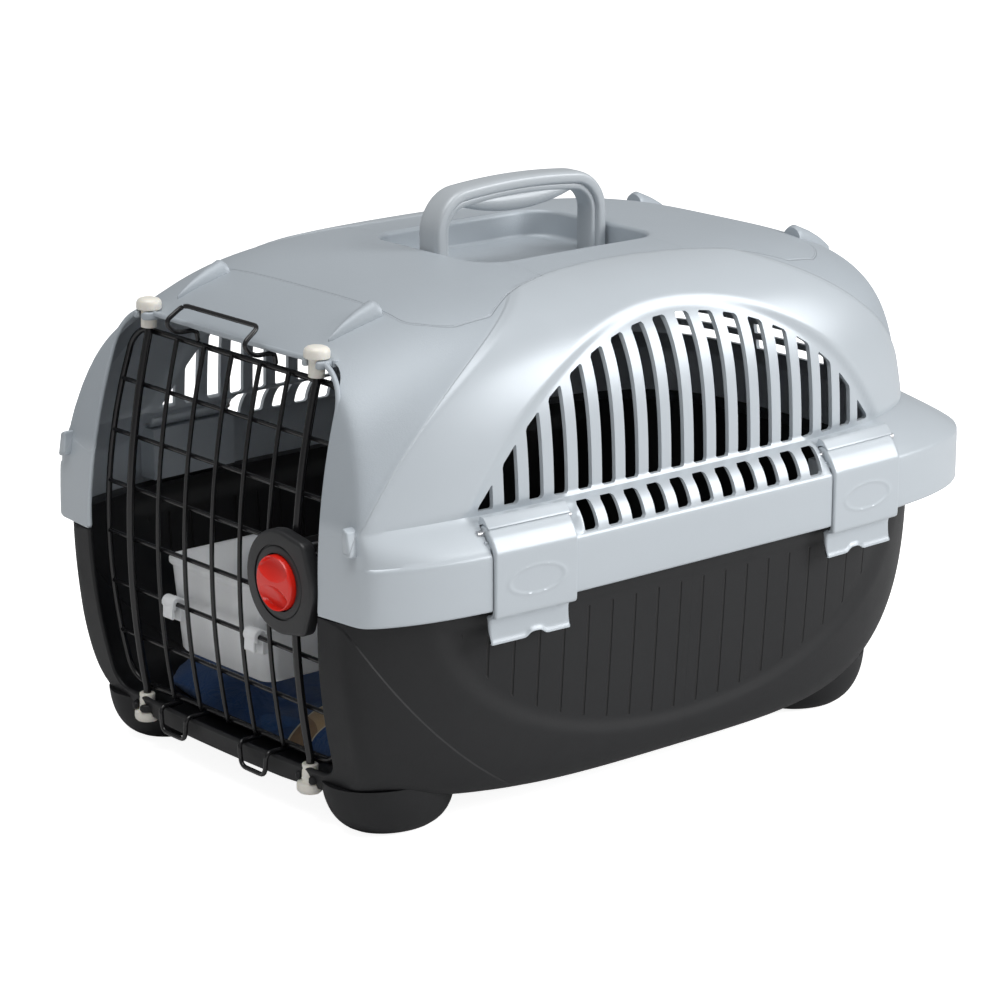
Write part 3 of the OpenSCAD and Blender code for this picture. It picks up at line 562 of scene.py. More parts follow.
# Top shell: the roof half, moulded in silver-grey plastic with its rim, vents, belt guides and handle well.
# The roof and the front corners are grained; the arches over the vents and the rim are smooth and pearly.
roof_h, deck_z = 176.0, 55.0
arch_top, arch_radius = 149.0, 195.7
arch_z = arch_top - arch_radius
vent_pitch, vent_w = 19.0, 11.0
clip_y, clip_w, clip_turn = 140.0, 62.0, math.radians(2.4)
pin_x, pin_z = 173.0, 46.0


def roof_sizes(z, inset):
    """Half width and half lengths of the shell above the deck, drawn in by inset, closing at the roof."""
    t = np.clip(z / (roof_h - inset), 0, 1)
    return (
        (168 - inset) * np.maximum(1 - t**4.5, 1e-9) ** (1 / 5),
        (400 - inset) * (1 - 0.5 * t) * np.maximum(1 - t**12, 1e-9) ** (1 / 6),
        (268 - inset) * (1 - 0.13 * t) * np.maximum(1 - t**6, 1e-9) ** (1 / 6),
    )


def shell_rings(inset):
    """Rings of the shell: the upright rim band, its rounded top edge and sloping shoulder, then the dome."""
    band_z = np.array([0.0, 0.5, 1.2, 2.0, 8.0, 14.0, 20.0, 26.0, 31.0, 33.4, 34.8, 35.6])
    draw = np.array([1.2, 0.5, 0.1, 0, 0, 0, 0, 0, 0, 0.15, 0.6, 1.5])
    share = np.linspace(0, 1, 12)[1:]
    deck = roof_sizes(np.array([deck_z]), inset)
    z = [band_z, 35.6 + (deck_z - 35.6) * share**0.93]
    half = [185 - inset - draw, (183.5 - inset) * (1 - share) + deck[0] * share]
    front = [287.5 - inset - draw, (286.0 - inset) * (1 - share) + deck[1] * share]
    rear = [287.5 - inset - draw, (286.0 - inset) * (1 - share) + deck[2] * share]
    power = [np.full(12, 4.87), 4.87 + (wall_power - 4.87) * share]
    top = roof_h - inset
    wall_z = np.linspace(deck_z + 1.6, 0.93 * top, 78)
    width = np.linspace((1 - 0.93**4.5) ** 0.2, 0.16, 34)[1:]
    dome_z = np.r_[wall_z, top * (1 - width**5) ** (1 / 4.5)]
    sizes = roof_sizes(dome_z, inset)
    z.append(dome_z)
    for kept, size in zip((half, front, rear), sizes):
        kept.append(size)
    power.append(np.full(len(dome_z), wall_power))
    heights = np.concatenate(z)
    rings = cabin_rings(heights, *(np.concatenate(v) for v in (half, front, rear, power)), inset)
    spot = rings
    side = ease(60, 110, np.abs(spot[..., 0]))
    arch = np.hypot(spot[..., 1], spot[..., 2] - arch_z) - arch_radius
    hollow = 2.8 * (1 - ease(3, 10, arch)) * side * ease(50, 56, spot[..., 2])
    middle = 1 - ease(103, 107, np.abs(spot[..., 1]))
    bulge = 3.6 * side * middle * np.sin(math.pi * np.clip((spot[..., 2] - 36) / 22, 0, 1)) ** 0.8
    ridge = 1.3 * fender(spot) * side
    rings = rings + surface_normals(rings) * (bulge - hollow + ridge)[..., None]
    rings[..., 2] -= 4.0 * np.minimum(np.abs(rings[..., 1]) / 170, 1.1) ** 2 * ease(105, 165, rings[..., 2])
    return rings


def fender_edge(spot):
    """Signed distance inside the fender: a great arc on the side, and on the roof the waist of the middle panel."""
    arc = 298.5 - np.hypot(spot[..., 1], spot[..., 2] + 113)
    waist = np.abs(spot[..., 0]) - (91 + 17 * (spot[..., 1] / 96) ** 2)
    return np.minimum(arc, np.where(spot[..., 2] > 150, waist, 99.0))


def fender(spot):
    """How far a point is up on the fender, from 0 to 1, over a 3 mm step, and only above the shoulder."""
    return ease(-1.5, 1.5, fender_edge(spot)) * ease(52, 60, spot[..., 2])


shell = make_piece("roof_shell", *loft_solid(shell_rings(0)))
hollow_rings = shell_rings(wall)
below = hollow_rings[0] - [0, 0, 4]
carve(shell, *loft_solid(np.concatenate([below[None], hollow_rings])))


def block(low, high):
    """A plain box as a cutting tool."""
    (x0, y0, z0), (x1, y1, z1) = low, high
    points = np.array([(x, y, z) for z in (z0, z1) for y in (y0, y1) for x in (x0, x1)], float)
    return points, [[0, 2, 3, 1], [4, 5, 7, 6], [0, 1, 5, 4], [2, 6, 7, 3], [0, 4, 6, 2], [1, 3, 7, 5]]


def rounded_box_outline(width, length, radius, spacing=1.5):
    """Outline of a rectangle with rounded corners, centred."""
    return rounded_outline([(a * (width / 2 - radius), b * (length / 2 - radius), radius) for a in (-1, 1) for b in (-1, 1)], spacing)


def at_clip(points, side, end):
    """Moves points drawn at a clip's own middle to one of the four clips, turned with the rim and mirrored."""
    cos, sin = math.cos(clip_turn), math.sin(clip_turn)
    x = points[:, 0] * cos - points[:, 1] * sin
    y = points[:, 0] * sin + points[:, 1] * cos + clip_y - 185 * sin
    return np.stack([side * x, end * y, points[:, 2]], -1)


def mirrored(solid, side, end):
    """Places a solid at a clip and keeps its faces outwards."""
    points, faces = solid
    return at_clip(points, side, end), faces if side * end > 0 else [face[::-1] for face in faces]


clip_pad = rounded_outline([(169.0, 50.0, 1.0), (170.2, 54.6, 1.0), (172.9, 54.5, 0.8), (177.4, 49.0, 0.8), (175.0, 46.0, 1.0)], 1.0)
well_w, well_l, well_floor = 118.0, 147.0, 157.0
pocket = rounded_box_outline(well_w + 2 * wall, well_l + 2 * wall, 24)
carve(shell, *rounded_prism(pocket, well_floor - wall, roof_h - 1.5, 1.5), action="UNION")
for side in (-1, 1):
    for end in (-1, 1):
        carve(shell, *mirrored(block((164, -33.5, 8), (178.5, 33.5, 42)), side, end), action="UNION")
        carve(shell, *mirrored(stand_up(rounded_prism(clip_pad, -31.0, 31.0, 0.5)), side, end), action="UNION")


def belt_guide(side, end):
    """A belt guide: a fin whose half-round section grows from a point at the cabin's end to a blunt inner end."""
    s = np.linspace(0.0, 1.0, 26)
    turn = np.linspace(0, math.pi, 17)
    grow = s**0.75
    half = 0.6 + 7.2 * grow
    high = 0.6 + 7.6 * grow * np.sqrt(np.clip((1.05 - s) / 0.12, 0, 1))
    y = 210 - 35 * s
    top = np.interp(y, [160, 175, 190, 200, 210], [167.5, 164.6, 160.8, 157.2, 152.4])
    x = 77 + half[:, None] * np.cos(turn)
    z = top[:, None] - 5 + (high + 4)[:, None] * np.abs(np.sin(turn)) ** 0.7
    rings = np.stack([side * x, np.broadcast_to(end * y[:, None], x.shape), z], -1)
    points, faces = loft_solid(rings)
    return points, faces if side * end > 0 else [face[::-1] for face in faces]


for side in (-1, 1):
    for end in (-1, 1):
        carve(shell, *belt_guide(side, end), action="UNION")

def well_tool():
    """The well's room: a rounded rectangle that flares out along a quarter circle at the roof and is eased at its floor."""
    outline = rounded_box_outline(well_w, well_l, 21)
    step = np.roll(outline, -1, 0) - np.roll(outline, 1, 0)
    outward = np.stack([step[:, 1], -step[:, 0]], -1)
    outward /= np.linalg.norm(outward, axis=1, keepdims=True)
    turn = np.linspace(0, math.pi / 2, 7)
    grow = np.r_[-3 * (1 - np.sin(turn)), 3.0 * (1 - np.cos(turn)), 3.4]
    level = np.r_[well_floor + 3 * (1 - np.cos(turn)), roof_h - 3.6 + 3.0 * np.sin(turn), roof_h + 6]
    flat = outline[None] + outward[None] * grow[:, None, None]
    lift = np.broadcast_to(level[:, None, None], flat.shape[:2] + (1,))
    return loft_solid(np.concatenate([flat, lift], -1))


carve(shell, *well_tool())
carve(shell, *doorway_tool)


def slot_prism(corners, x0, x1, chamfer=1.6):
    """A slot drawn in y and z with its corners taken off, carried from x0 to x1."""
    corner = np.asarray(corners, float)
    before, after = np.roll(corner, 1, 0) - corner, np.roll(corner, -1, 0) - corner
    before /= np.linalg.norm(before, axis=1, keepdims=True)
    after /= np.linalg.norm(after, axis=1, keepdims=True)
    edge = np.stack([corner + before * chamfer, corner + (before + after) * chamfer * 0.42, corner + after * chamfer], 1).reshape(-1, 2)
    count = len(edge)
    points = np.concatenate([np.c_[np.full(count, x), edge] for x in (x0, x1)])
    return points, grid_faces(2, count) + [list(range(count - 1, -1, -1)), list(range(count, 2 * count))]


slots = []
for side in (-1, 1):
    for k in range(18):
        y0 = (k - 8.5) * vent_pitch - vent_w / 2
        y1 = y0 + vent_w
        top0, top1 = (arch_z + math.sqrt(arch_radius**2 - y**2) for y in (y0, y1))
        corners = [(y0, 56.5), (y1, 56.5), (y1, max(top1, 59)), (y0, max(top0, 59))]
        end_slot = abs(k - 8.5) > 8
        slots.append(slot_prism(corners, *sorted((side * 90, side * 196)), chamfer=1.0 if end_slot else 1.6))
    for k in range(11):
        y0 = (k - 5) * vent_pitch - vent_w / 2
        slots.append(slot_prism([(y0, 36), (y0 + vent_w, 36), (y0 + vent_w, 53), (y0, 53)], *sorted((side * 163.5, side * 196))))
for column in range(3):
    for row in range(3):
        x, z = (column - 1) * 72, deck_z + 4 + row * 11.5
        slots.append(block((x - 33, 120, z - 3.5), (x + 33, 300, z + 3.5)))
carve(shell, *join_solids(*slots))

rooms = []
for side in (-1, 1):
    for end in (-1, 1):
        room = rounded_outline([(pin_x, pin_z, 5.3), (pin_x, -20, 5.3), (200, -20, 4), (200, 33, 4), (184, 43, 2)], 1.0)
        room[:, 0] = np.where(room[:, 1] < pin_z - 5.1, np.maximum(room[:, 0], 180.0), room[:, 0])
        points, faces = stand_up(rounded_prism(room, -31.7, 31.7))
        rooms.append(mirrored((points, faces), side, end))
for room in rooms:
    carve(shell, *room)

high_eyelets = [eyelet(s * rod_x, 139.0, eyelet_gap[s]) for s in (-1, 1)]
high_lip = doorway[doorway[:, 1] > 1.0]
start = int(np.argmax(np.linalg.norm(np.diff(np.concatenate([high_lip, high_lip[:1]]), axis=0), axis=1)))
high_lip = np.roll(high_lip, -(start + 1), 0)
lip_path = np.stack([high_lip[:, 0], front_face(high_lip[:, 0], high_lip[:, 1]) + 1.7, high_lip[:, 1]], -1)
tabs = []
for side in (-1, 1):
    tab = rounded_outline([(side * 146, 44, 1.5), (side * 150, 43, 1.5), (side * 145, 57, 1.5), (side * 147, 56, 1.5)], 1.0)
    points, faces = stand_up(rounded_prism(tab, -254, -238, 1.2))
    tabs.append((points, faces))
shell_trim = make_piece("shell_doorway_edge", *join_solids(pressed_tube(lip_path, 1.7), *high_eyelets, *tabs))

shell_plastic, tree, shader, grain, grain_bump, rough = plastic("shell_plastic", (0.500, 0.545, 0.585), 0.34, 1700, 0.00016, 0.05, metallic=0.15)
grained = sums(tree, "SUBTRACT", 1.0, band(tree, attribute(tree, "fender"), -1.5, 1.0))
grained = sums(tree, "MULTIPLY", grained, band(tree, attribute(tree, "height"), 50.0, 60.0))
tree.links.new(sums(tree, "ADD", sums(tree, "MULTIPLY", grained, 0.85), 0.15), grain_bump.inputs["Strength"])
tree.links.new(sums(tree, "ADD", rough, sums(tree, "MULTIPLY", grained, 0.14)), shader.inputs["Roughness"])
crisp = band(tree, attribute(tree, "fender"), -0.45, 0.45)
line = sums(tree, "SUBTRACT", 1.0, band(tree, sums(tree, "ABSOLUTE", attribute(tree, "roof_line")), 0.3, 1.1))
relief = sums(tree, "SUBTRACT", crisp, line)
relief_bump = add_node(tree, "Bump", {"Strength": 1.0, "Distance": 0.0006}, {"Height": relief, "Normal": grain_bump.outputs["Normal"]})
tree.links.new(relief_bump.outputs["Normal"], shader.inputs["Normal"])
base = shader.inputs["Base Color"].links[0].from_socket
# Painted shade: where the shell is grained its colour is multiplied to about 0.82 of the smooth arches, the shade of
# the grain's texture painted into the colour.
deep = add_node(tree, "MixRGB", {"blend_type": "MULTIPLY", 2: (0.82, 0.83, 0.84, 1.0)}, {0: grained, 1: base})
tree.links.new(deep.outputs[0], shader.inputs["Base Color"])


def roof_line(spot):
    """Signed distance from the line that borders the roof's middle panel: a rounded rectangle with a waist."""
    y = spot[:, 1] - 0.0
    half = np.interp(np.abs(y), [0, 60, 100, 125, 150, 165], [91, 97.5, 110, 124, 121, 112])
    side_gap = np.abs(spot[:, 0]) - half
    end_gap = np.abs(y) - 172
    corner = np.hypot(np.maximum(side_gap + 18, 0), np.maximum(end_gap + 18, 0)) - 18
    inside = np.maximum(side_gap, end_gap)
    return np.where((side_gap > -18) & (end_gap > -18), corner, inside)


for made in (shell, shell_trim):
    spots = own_points(made)
    mark(made, "fender", np.where(np.abs(spots[:, 0]) > 60, fender_edge(spots), -50.0))
    mark(made, "height", spots[:, 2])
    mark(made, "roof_line", np.where((spots[:, 2] > 150) & (np.abs(spots[:, 1]) > 60), roof_line(spots), 50.0))
    made.data.materials.clear()
    made.data.materials.append(shell_plastic)
    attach(made, "cabin")
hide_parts("top_shell")

# Clips: four moulded clips swing on steel pins near the top of the rim and hook under the tray's flange.
# Each has a plain raised oval on its face and a lifting tab that lies along the tray.
def softened(corners, rounds=3):
    """A closed outline with its corners cut three times, each time a quarter in from both ends of an edge."""
    outline = np.asarray(corners, float)
    for _ in range(rounds):
        after = np.roll(outline, -1, 0)
        outline = np.stack([outline * 0.78 + after * 0.22, outline * 0.22 + after * 0.78], 1).reshape(-1, 2)
    return outline


barrel_arc = [(pin_x + 4.9 * math.cos(a), pin_z + 4.9 * math.sin(a)) for a in np.radians(np.linspace(250, 40, 12))]
clip_corners = barrel_arc + [
    (178.2, 47.2), (181.2, 43.6), (184.5, 37.6), (185.3, 35.6), (185.5, 33.4), (185.5, 20), (185.5, 6), (185.4, -2.6), (184.8, -4.2), (183.2, -5.0),
    (179.6, -5.8), (178.2, -8.0), (178.4, -14), (178.9, -18.5), (180.2, -21.6), (179.6, -22.3), (178.2, -21.4), (176.6, -18), (175.4, -12), (175.2, -7.4),
    (175.3, -5.0), (176.4, -3.7), (181.2, -2.4), (181.6, 0), (181.6, 34), (180.6, 37.4), (176.6, 41.2),
]
clip_outline = even_steps(softened(clip_corners, 2)[::-1], 0.9)


def clip_solid():
    """A clip: its side outline carried across its width, drawn in at both ends, with the oval raised on its face."""
    half = clip_w / 2
    turn = np.linspace(0, math.pi / 2, 5)
    radius = 1.3
    drop = np.r_[radius * (1 - np.sin(turn)), np.zeros(62), (radius * (1 - np.sin(turn)))[::-1]]
    eased = half - radius * (1 - np.cos(turn))
    across = np.r_[-eased, np.linspace(-half + radius, half - radius, 64)[1:-1], eased[::-1]]
    step = np.roll(clip_outline, -1, 0) - np.roll(clip_outline, 1, 0)
    outward = np.stack([-step[:, 1], step[:, 0]], -1)
    outward /= np.linalg.norm(outward, axis=1, keepdims=True)
    if np.mean(outward[:, 0] * (clip_outline[:, 0] - 180)) < 0:
        outward = -outward
    z = clip_outline[None, :, 1]
    v = across[:, None]
    oval = np.sqrt((v / 21.0) ** 2 + ((z - 15.5) / 8.6) ** 2)
    gap = (oval - 1) * 8.6
    face = (clip_outline[None, :, 0] > 184.2) * 1.0
    raised = 0.45 * np.exp(-((gap / 0.7) ** 2)) * face
    panel = 0.2 * (1 - ease(-1.0, 0.5, gap)) * face
    flat = clip_outline[None] + outward[None] * (raised - panel * 0.6 - drop[:, None])[..., None]
    narrow = 1 - 0.03 * ease(-3, -8, z)
    notch = 3.0 * np.exp(-(((v + 4) / 6.5) ** 4)) * ease(-12, -22, z)
    rings = np.stack([flat[..., 0], v * narrow, flat[..., 1] + notch], -1)
    return loft_solid(rings)


clip_plastic, tree, shader, grain, grain_bump, rough = plastic("clip_plastic", (0.50, 0.545, 0.585), 0.33, 1700, 0.00003, 0.04, metallic=0.15)
clip_points, clip_faces = clip_solid()
for side, side_name in ((1, "right"), (-1, "left")):
    for end, end_name in ((-1, "front"), (1, "rear")):
        points, faces = mirrored((clip_points, clip_faces), side, end)
        made = make_piece(f"side_clip_{side_name}_{end_name}", points, faces, crease=40)
        made.data.materials.append(clip_plastic)
        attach(made, f"clip_{side_name}_{end_name}")
        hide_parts(f"clip_{side_name}_{end_name}")

steel = bpy.data.materials.new("screw_steel")
steel.use_nodes = True
shader = steel.node_tree.nodes["Principled BSDF"]
shader.inputs["Metallic"].default_value = 1.0
shader.inputs["Base Color"].default_value = (0.62, 0.62, 0.63, 1.0)
turned = add_node(steel.node_tree, "TexNoise", {"Scale": 420.0, "Detail": 3.0}, {"Vector": add_node(steel.node_tree, "TexCoord").outputs["Object"]})
satin = sums(steel.node_tree, "ADD", sums(steel.node_tree, "MULTIPLY", turned.outputs["Fac"], 0.2), 0.22)
steel.node_tree.links.new(satin, shader.inputs["Roughness"])
for name in ("clip_pins", "lock_screws"):
    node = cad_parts[name]
    node.data.materials.clear()
    node.data.materials.append(steel)

# Carry handle: a fixed strap that stands in the well, moulded with a wide outer band, a narrower inner rib
# and a swollen underside that fills the hand.
handle_l, handle_top = 144.0, 215.0
handle_plastic, tree, shader, grain, grain_bump, rough = plastic("handle_plastic", (0.47, 0.505, 0.535), 0.36, 1700, 0.00003, 0.04, metallic=0.1)


def handle_path(inset, corner):
    """Middle line of the strap in y and z: up one leg, round two corners, along the arched top, and down."""
    half = handle_l / 2 - inset
    top = handle_top - inset
    turn = np.linspace(0, math.pi / 2, 12)
    leg_z = np.linspace(well_floor - 0.5, top - corner, 10)[:-1]
    y = np.r_[np.full(9, half), half - corner * (1 - np.cos(turn))]
    z = np.r_[leg_z, top - corner + corner * np.sin(turn)]
    middle = np.linspace(half - corner, -(half - corner), 24)[1:-1]
    y, z = np.r_[y, middle, -y[::-1]], np.r_[z, np.full(22, top), z[::-1]]
    z -= 5.0 * (y / half) ** 2 * ease(well_floor + 10, top - corner, z)
    return np.stack([np.zeros_like(y), y, z], -1)


def strap(path, width, thick, power=4.0):
    """A strap along a path in the y-z plane with a super-elliptic section, width in x and thick across the path."""
    along = np.gradient(path, axis=0)
    along /= np.linalg.norm(along, axis=1, keepdims=True)
    across = np.stack([np.zeros(len(along)), -along[:, 2], along[:, 1]], -1)
    turn = np.linspace(0, 2 * math.pi, 40, endpoint=False)
    wide = width / 2 * np.sign(np.cos(turn)) * np.abs(np.cos(turn)) ** (2 / power)
    deep = thick / 2 * np.sign(np.sin(turn)) * np.abs(np.sin(turn)) ** (2 / power)
    rings = path[:, None] + across[:, None] * deep[None, :, None] + np.array([1.0, 0, 0]) * wide[None, :, None]
    return loft_solid(rings[:, ::-1])


def grip_belly():
    """The swollen underside of the grip: an arc-shaped pad that is deepest in the middle and fades at both ends."""
    run = np.linspace(-1, 1, 41)
    turn = np.linspace(0, 2 * math.pi, 36, endpoint=False)
    swell = np.sqrt(np.maximum(1 - run**2, 0.0004))
    y = 55 * run
    x = 7.8 * (0.25 + 0.75 * swell[:, None]) * np.sign(np.cos(turn)) * np.abs(np.cos(turn)) ** 0.75
    low = 202.5 - 10.5 * (1 - run**2)
    high = np.full_like(low, 206.0)
    z = (high + low)[:, None] / 2 + (high - low)[:, None] / 2 * np.sin(turn)
    rings = np.stack([x, np.broadcast_to(y[:, None], x.shape), z], -1)
    return loft_solid(rings[:, ::-1])


carry = make_piece(
    "carry_handle_strap",
    *join_solids(strap(handle_path(4.4, 21.0), 20.0, 8.6), strap(handle_path(9.7, 15.5), 15.0, 6.4, 3.0), grip_belly()),
)
carry.data.materials.append(handle_plastic)
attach(carry, "cabin")
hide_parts("carry_handle")

# Door: steel wires, bowed to the front of the cabin, welded into a grid and dipped in a gloss black coating.
# Two thick rods run its whole height and end in the pivots; loops at the top and bottom are its stops.
coated_wire = bpy.data.materials.new("coated_wire")
coated_wire.use_nodes = True
tree = coated_wire.node_tree
shader = tree.nodes["Principled BSDF"]
place = add_node(tree, "TexCoord").outputs["Object"]
dip = add_node(tree, "TexNoise", {"Scale": 260.0, "Detail": 3.0, "Roughness": 0.6}, {"Vector": place})
tone = add_node(tree, "MixRGB", {1: (0.006, 0.006, 0.007, 1.0), 2: (0.012, 0.012, 0.013, 1.0)}, {0: dip.outputs["Fac"]})
tree.links.new(tone.outputs[0], shader.inputs["Base Color"])
tree.links.new(sums(tree, "ADD", sums(tree, "MULTIPLY", dip.outputs["Fac"], 0.12), 0.14), shader.inputs["Roughness"])
dip_bump = add_node(tree, "Bump", {"Strength": 0.5, "Distance": 0.00004}, {"Height": dip.outputs["Fac"]})
tree.links.new(dip_bump.outputs["Normal"], shader.inputs["Normal"])

wire_r, frame_r, rod_r = 1.5, 2.0, 2.6
frame_half, corner_r = 117.0, 16.0
row_pitch = (bar_top - bar_bottom) / 7


def bowed(x, arc, low, high, steps=40):
    """A wire that stands upright at x and follows the door's bow between two heights."""
    z = np.linspace(low, high, steps)
    return np.stack([np.full(steps, float(x)), bow_y(arc, z), z], -1)


def eased_path(corners, radius, steps=5):
    """A bent wire's line: straight runs with each corner taken along a curve that starts radius back from it."""
    corner = np.asarray(corners, float)
    t = np.linspace(0, 1, steps + 1)[:, None]
    parts = [corner[:1]]
    for before, at, after in zip(corner[:-2], corner[1:-1], corner[2:]):
        back, on = before - at, after - at
        a = at + back * min(radius / np.linalg.norm(back), 0.45)
        b = at + on * min(radius / np.linalg.norm(on), 0.45)
        parts.append(a * (1 - t) ** 2 + at * 2 * t * (1 - t) + b * t**2)
    return np.concatenate(parts + [corner[-1:]])


def frame_x(z):
    """Half width of the door's outer wire: widest a little above the middle, less by the square of the distance."""
    return frame_half - 10 * ((z - 12) / 115) ** 2


def door_frame_line():
    """The door's outer wire: a rounded frame with bulging sides, laid on the bow."""
    low, high = bar_bottom + corner_r, bar_top - corner_r
    turn = np.linspace(0, math.pi / 2, 8)[1:]
    z = np.r_[(low - corner_r * np.sin(turn))[::-1], np.linspace(low, high, 22), high + corner_r * np.sin(turn)]
    inset = corner_r * (1 - np.cos(turn))
    x = np.r_[(frame_x(low) - inset)[::-1], frame_x(np.linspace(low, high, 22)), frame_x(high) - inset]
    side = np.stack([x, z], -1)
    across = np.linspace(-1, 1, 24)[1:-1]
    top = np.stack([-across * x[-1], np.full(22, z[-1])], -1)
    bottom = np.stack([across * x[0], np.full(22, z[0])], -1)
    outline = np.concatenate([side, top, side[::-1] * [-1, 1], bottom])
    return np.stack([outline[:, 0], bow_y(frame_arc, outline[:, 1]), outline[:, 1]], -1)


def rod_line(side):
    """A pivot rod: the bow between the bars, with straight ends along the pivot line."""
    middle = bowed(side * rod_x, rod_arc, bar_bottom, bar_top)
    lean = np.array([0.0, pivot_slope, 1.0]) / math.hypot(1.0, pivot_slope)
    return np.concatenate([[middle[0] - lean * 18.7], middle, [middle[-1] + lean * 18.5]])


rows = []
for k in range(1, 7):
    z = bar_bottom + k * row_pitch
    end = frame_x(z) - 2
    x = np.linspace(-end, end, 12)
    rows.append(pressed_tube(np.stack([x, np.full(12, bow_y(row_arc, z)), np.full(12, z)], -1), wire_r))
uprights = [pressed_tube(bowed((k - 2) * rod_x / 3, upright_arc, bar_bottom, bar_top), wire_r) for k in range(5)]
top_bar_y, low_bar_y = bow_y(frame_arc, bar_top), bow_y(frame_arc, bar_bottom)
stop_leg = [
    (40, top_bar_y, bar_top + frame_r + wire_r - 0.2), (40, top_bar_y - 1, 139), (40, -238, 139), (40, -246, 147), (38.5, -232.5, 156),
]
top_stop = eased_path(stop_leg + [(-x, y, z) for x, y, z in stop_leg[::-1]], 5)
low_z = bar_bottom - frame_r - wire_r
low_stops = [
    pressed_tube(
        eased_path([
            (s - 14, low_bar_y, low_z), (s - 14, -246, low_z + 0.5), (s - 12, -246, low_z - 15),
            (s + 12, -246, low_z - 15), (s + 14, -246, low_z + 0.5), (s + 14, low_bar_y, low_z),
        ], 5),
        wire_r,
    )
    for s in (-42, 42)
]
wires = {
    "door_outer_wire": ([pressed_tube(door_frame_line(), frame_r, closed=True)], ["door_frame"]),
    "door_cross_wires": (rows, ["door_rows"]),
    "door_upright_wires": (uprights, ["door_uprights"]),
    "door_rod_left": ([pressed_tube(rod_line(-1), rod_r, 20)], ["pivot_rod_left"]),
    "door_rod_right": ([pressed_tube(rod_line(1), rod_r, 20)], ["pivot_rod_right"]),
    "door_loop_top": ([pressed_tube(top_stop, wire_r)], ["door_top_stop"]),
    "door_loops_bottom": (low_stops, ["door_bottom_stops"]),
}
for name, (tubes, nodes) in wires.items():
    made = make_piece(name, *join_solids(*tubes), crease=60)
    made.data.materials.append(coated_wire)
    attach(made, "door")
    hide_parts(*nodes)

# Pivot bushes: four ivory plastic bushes pressed on the rod ends; they snap into the eyelets on shell and tray.
bush_plastic, tree, shader, grain, grain_bump, rough = plastic("bush_plastic", (0.80, 0.775, 0.71), 0.34, 1400, 0.00003, 0.10)
shader.inputs["Subsurface Weight"].default_value = 0.12
shader.inputs["Subsurface Radius"].default_value = (0.003, 0.002, 0.001)
bush_section = np.array([
    (3.0, -11.0), (4.6, -11.0), (5.0, -10.6), (5.0, -0.2), (5.2, 0.0), (7.4, 0.5), (7.9, 0.9), (8.0, 1.6), (8.0, 4.6), (7.6, 6.0), (6.4, 7.2), (4.6, 7.8), (2.4, 8.0), (0.6, 8.05),
])


def bush(side, up):
    """A bush: its section turned about the pivot line, sleeve downwards at the top and upwards at the bottom."""
    z0 = 144.0 if up > 0 else -116.5
    turn = np.linspace(0, 2 * math.pi, 48, endpoint=False)
    lean = np.array([0.0, pivot_slope, 1.0]) / math.hypot(1.0, pivot_slope)
    tilt_y = np.array([0.0, 1.0, -pivot_slope]) / math.hypot(1.0, pivot_slope)
    fine = np.concatenate([np.linspace(a, b, 3, endpoint=False) for a, b in zip(bush_section[:-1], bush_section[1:])] + [bush_section[-1:]])
    radius, height = fine[:, 0][:, None, None], up * fine[:, 1][:, None, None]
    circle = np.array([1.0, 0, 0]) * np.cos(turn)[:, None] + tilt_y * np.sin(turn)[:, None]
    rings = np.array([side * rod_x, pivot_y(z0), z0]) + radius * circle[None] + height * lean
    return loft_solid(rings if up > 0 else rings[:, ::-1])


for side, side_name in ((1, "right"), (-1, "left")):
    for up, up_name in ((1, "top"), (-1, "bottom")):
        made = make_piece(f"pivot_bush_{up_name}_{side_name}", *bush(side, up), crease=50)
        made.data.materials.append(bush_plastic)
        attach(made, "door")
        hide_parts(f"bush_{up_name}_{side_name}")

# Lock: a black housing clamped to the right rod by a back plate and two screws.
# Turning the red knob a quarter turn drives the bolt behind the doorway's edge.
lock_back_y, plate_front, knob_r, plate_r = -247.4, -257.05, 17.0, 32.0
lock_x, lock_z, lock_flat = rod_x, 13.0, 25.5
lock_plastic, tree, shader, grain, grain_bump, rough = plastic("lock_plastic", (0.016, 0.0165, 0.018), 0.42, 1200, 0.00007, 0.2)


def lock_outline(grow):
    """Round on the hinge side, running out to a flat with rounded corners on the other."""
    return rounded_outline([(0, 0, plate_r + grow)] + [(lock_flat - 6, s * (plate_r - 9), 6 + grow) for s in (-1, 1)], 1.3)


def at_lock(solid):
    """Stands a solid drawn about the lock's middle in its place."""
    points, faces = stand_up(solid)
    return points + [lock_x, 0, lock_z], faces


housing = make_piece("lock_housing_plate", *at_lock(rounded_prism(lock_outline(0), plate_front, lock_back_y, 2.2)))
carve(housing, *at_lock(rounded_prism(rounded_outline([(0, 0, knob_r + 0.9)], 1.0), plate_front - 1, plate_front + 4.6)))
carve(housing, *at_lock(rounded_prism(rounded_outline([(0, 0, 23.2)], 1.0), plate_front - 1, plate_front + 1.0)))
collar = rounded_prism(rounded_outline([(0, 0, 22.4)], 1.0), plate_front + 0.1, plate_front + 3.5, 1.0)
carve(housing, *at_lock(collar), action="UNION")
carve(housing, *at_lock(rounded_prism(rounded_outline([(0, 0, knob_r + 0.9)], 1.0), plate_front - 1, plate_front + 4.6)))
channel = rounded_prism(even_steps(np.array([(-26.0, -10.4), (35.0, -10.4), (35.0, 10.4), (-26.0, 10.4)]), 4.0), lock_back_y - 2.35, lock_back_y + 1)
carve(housing, *at_lock(channel))
carve(housing, *at_lock(rounded_prism(rounded_outline([(0, 0, 4.3)], 0.8), plate_front - 1, lock_back_y + 1)))
housing.data.materials.clear()
housing.data.materials.append(lock_plastic)
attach(housing, "door")
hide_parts("lock_housing")
for name in ("lock_back", "lock_bolt"):
    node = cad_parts[name]
    node.data.materials.clear()
    node.data.materials.append(lock_plastic)

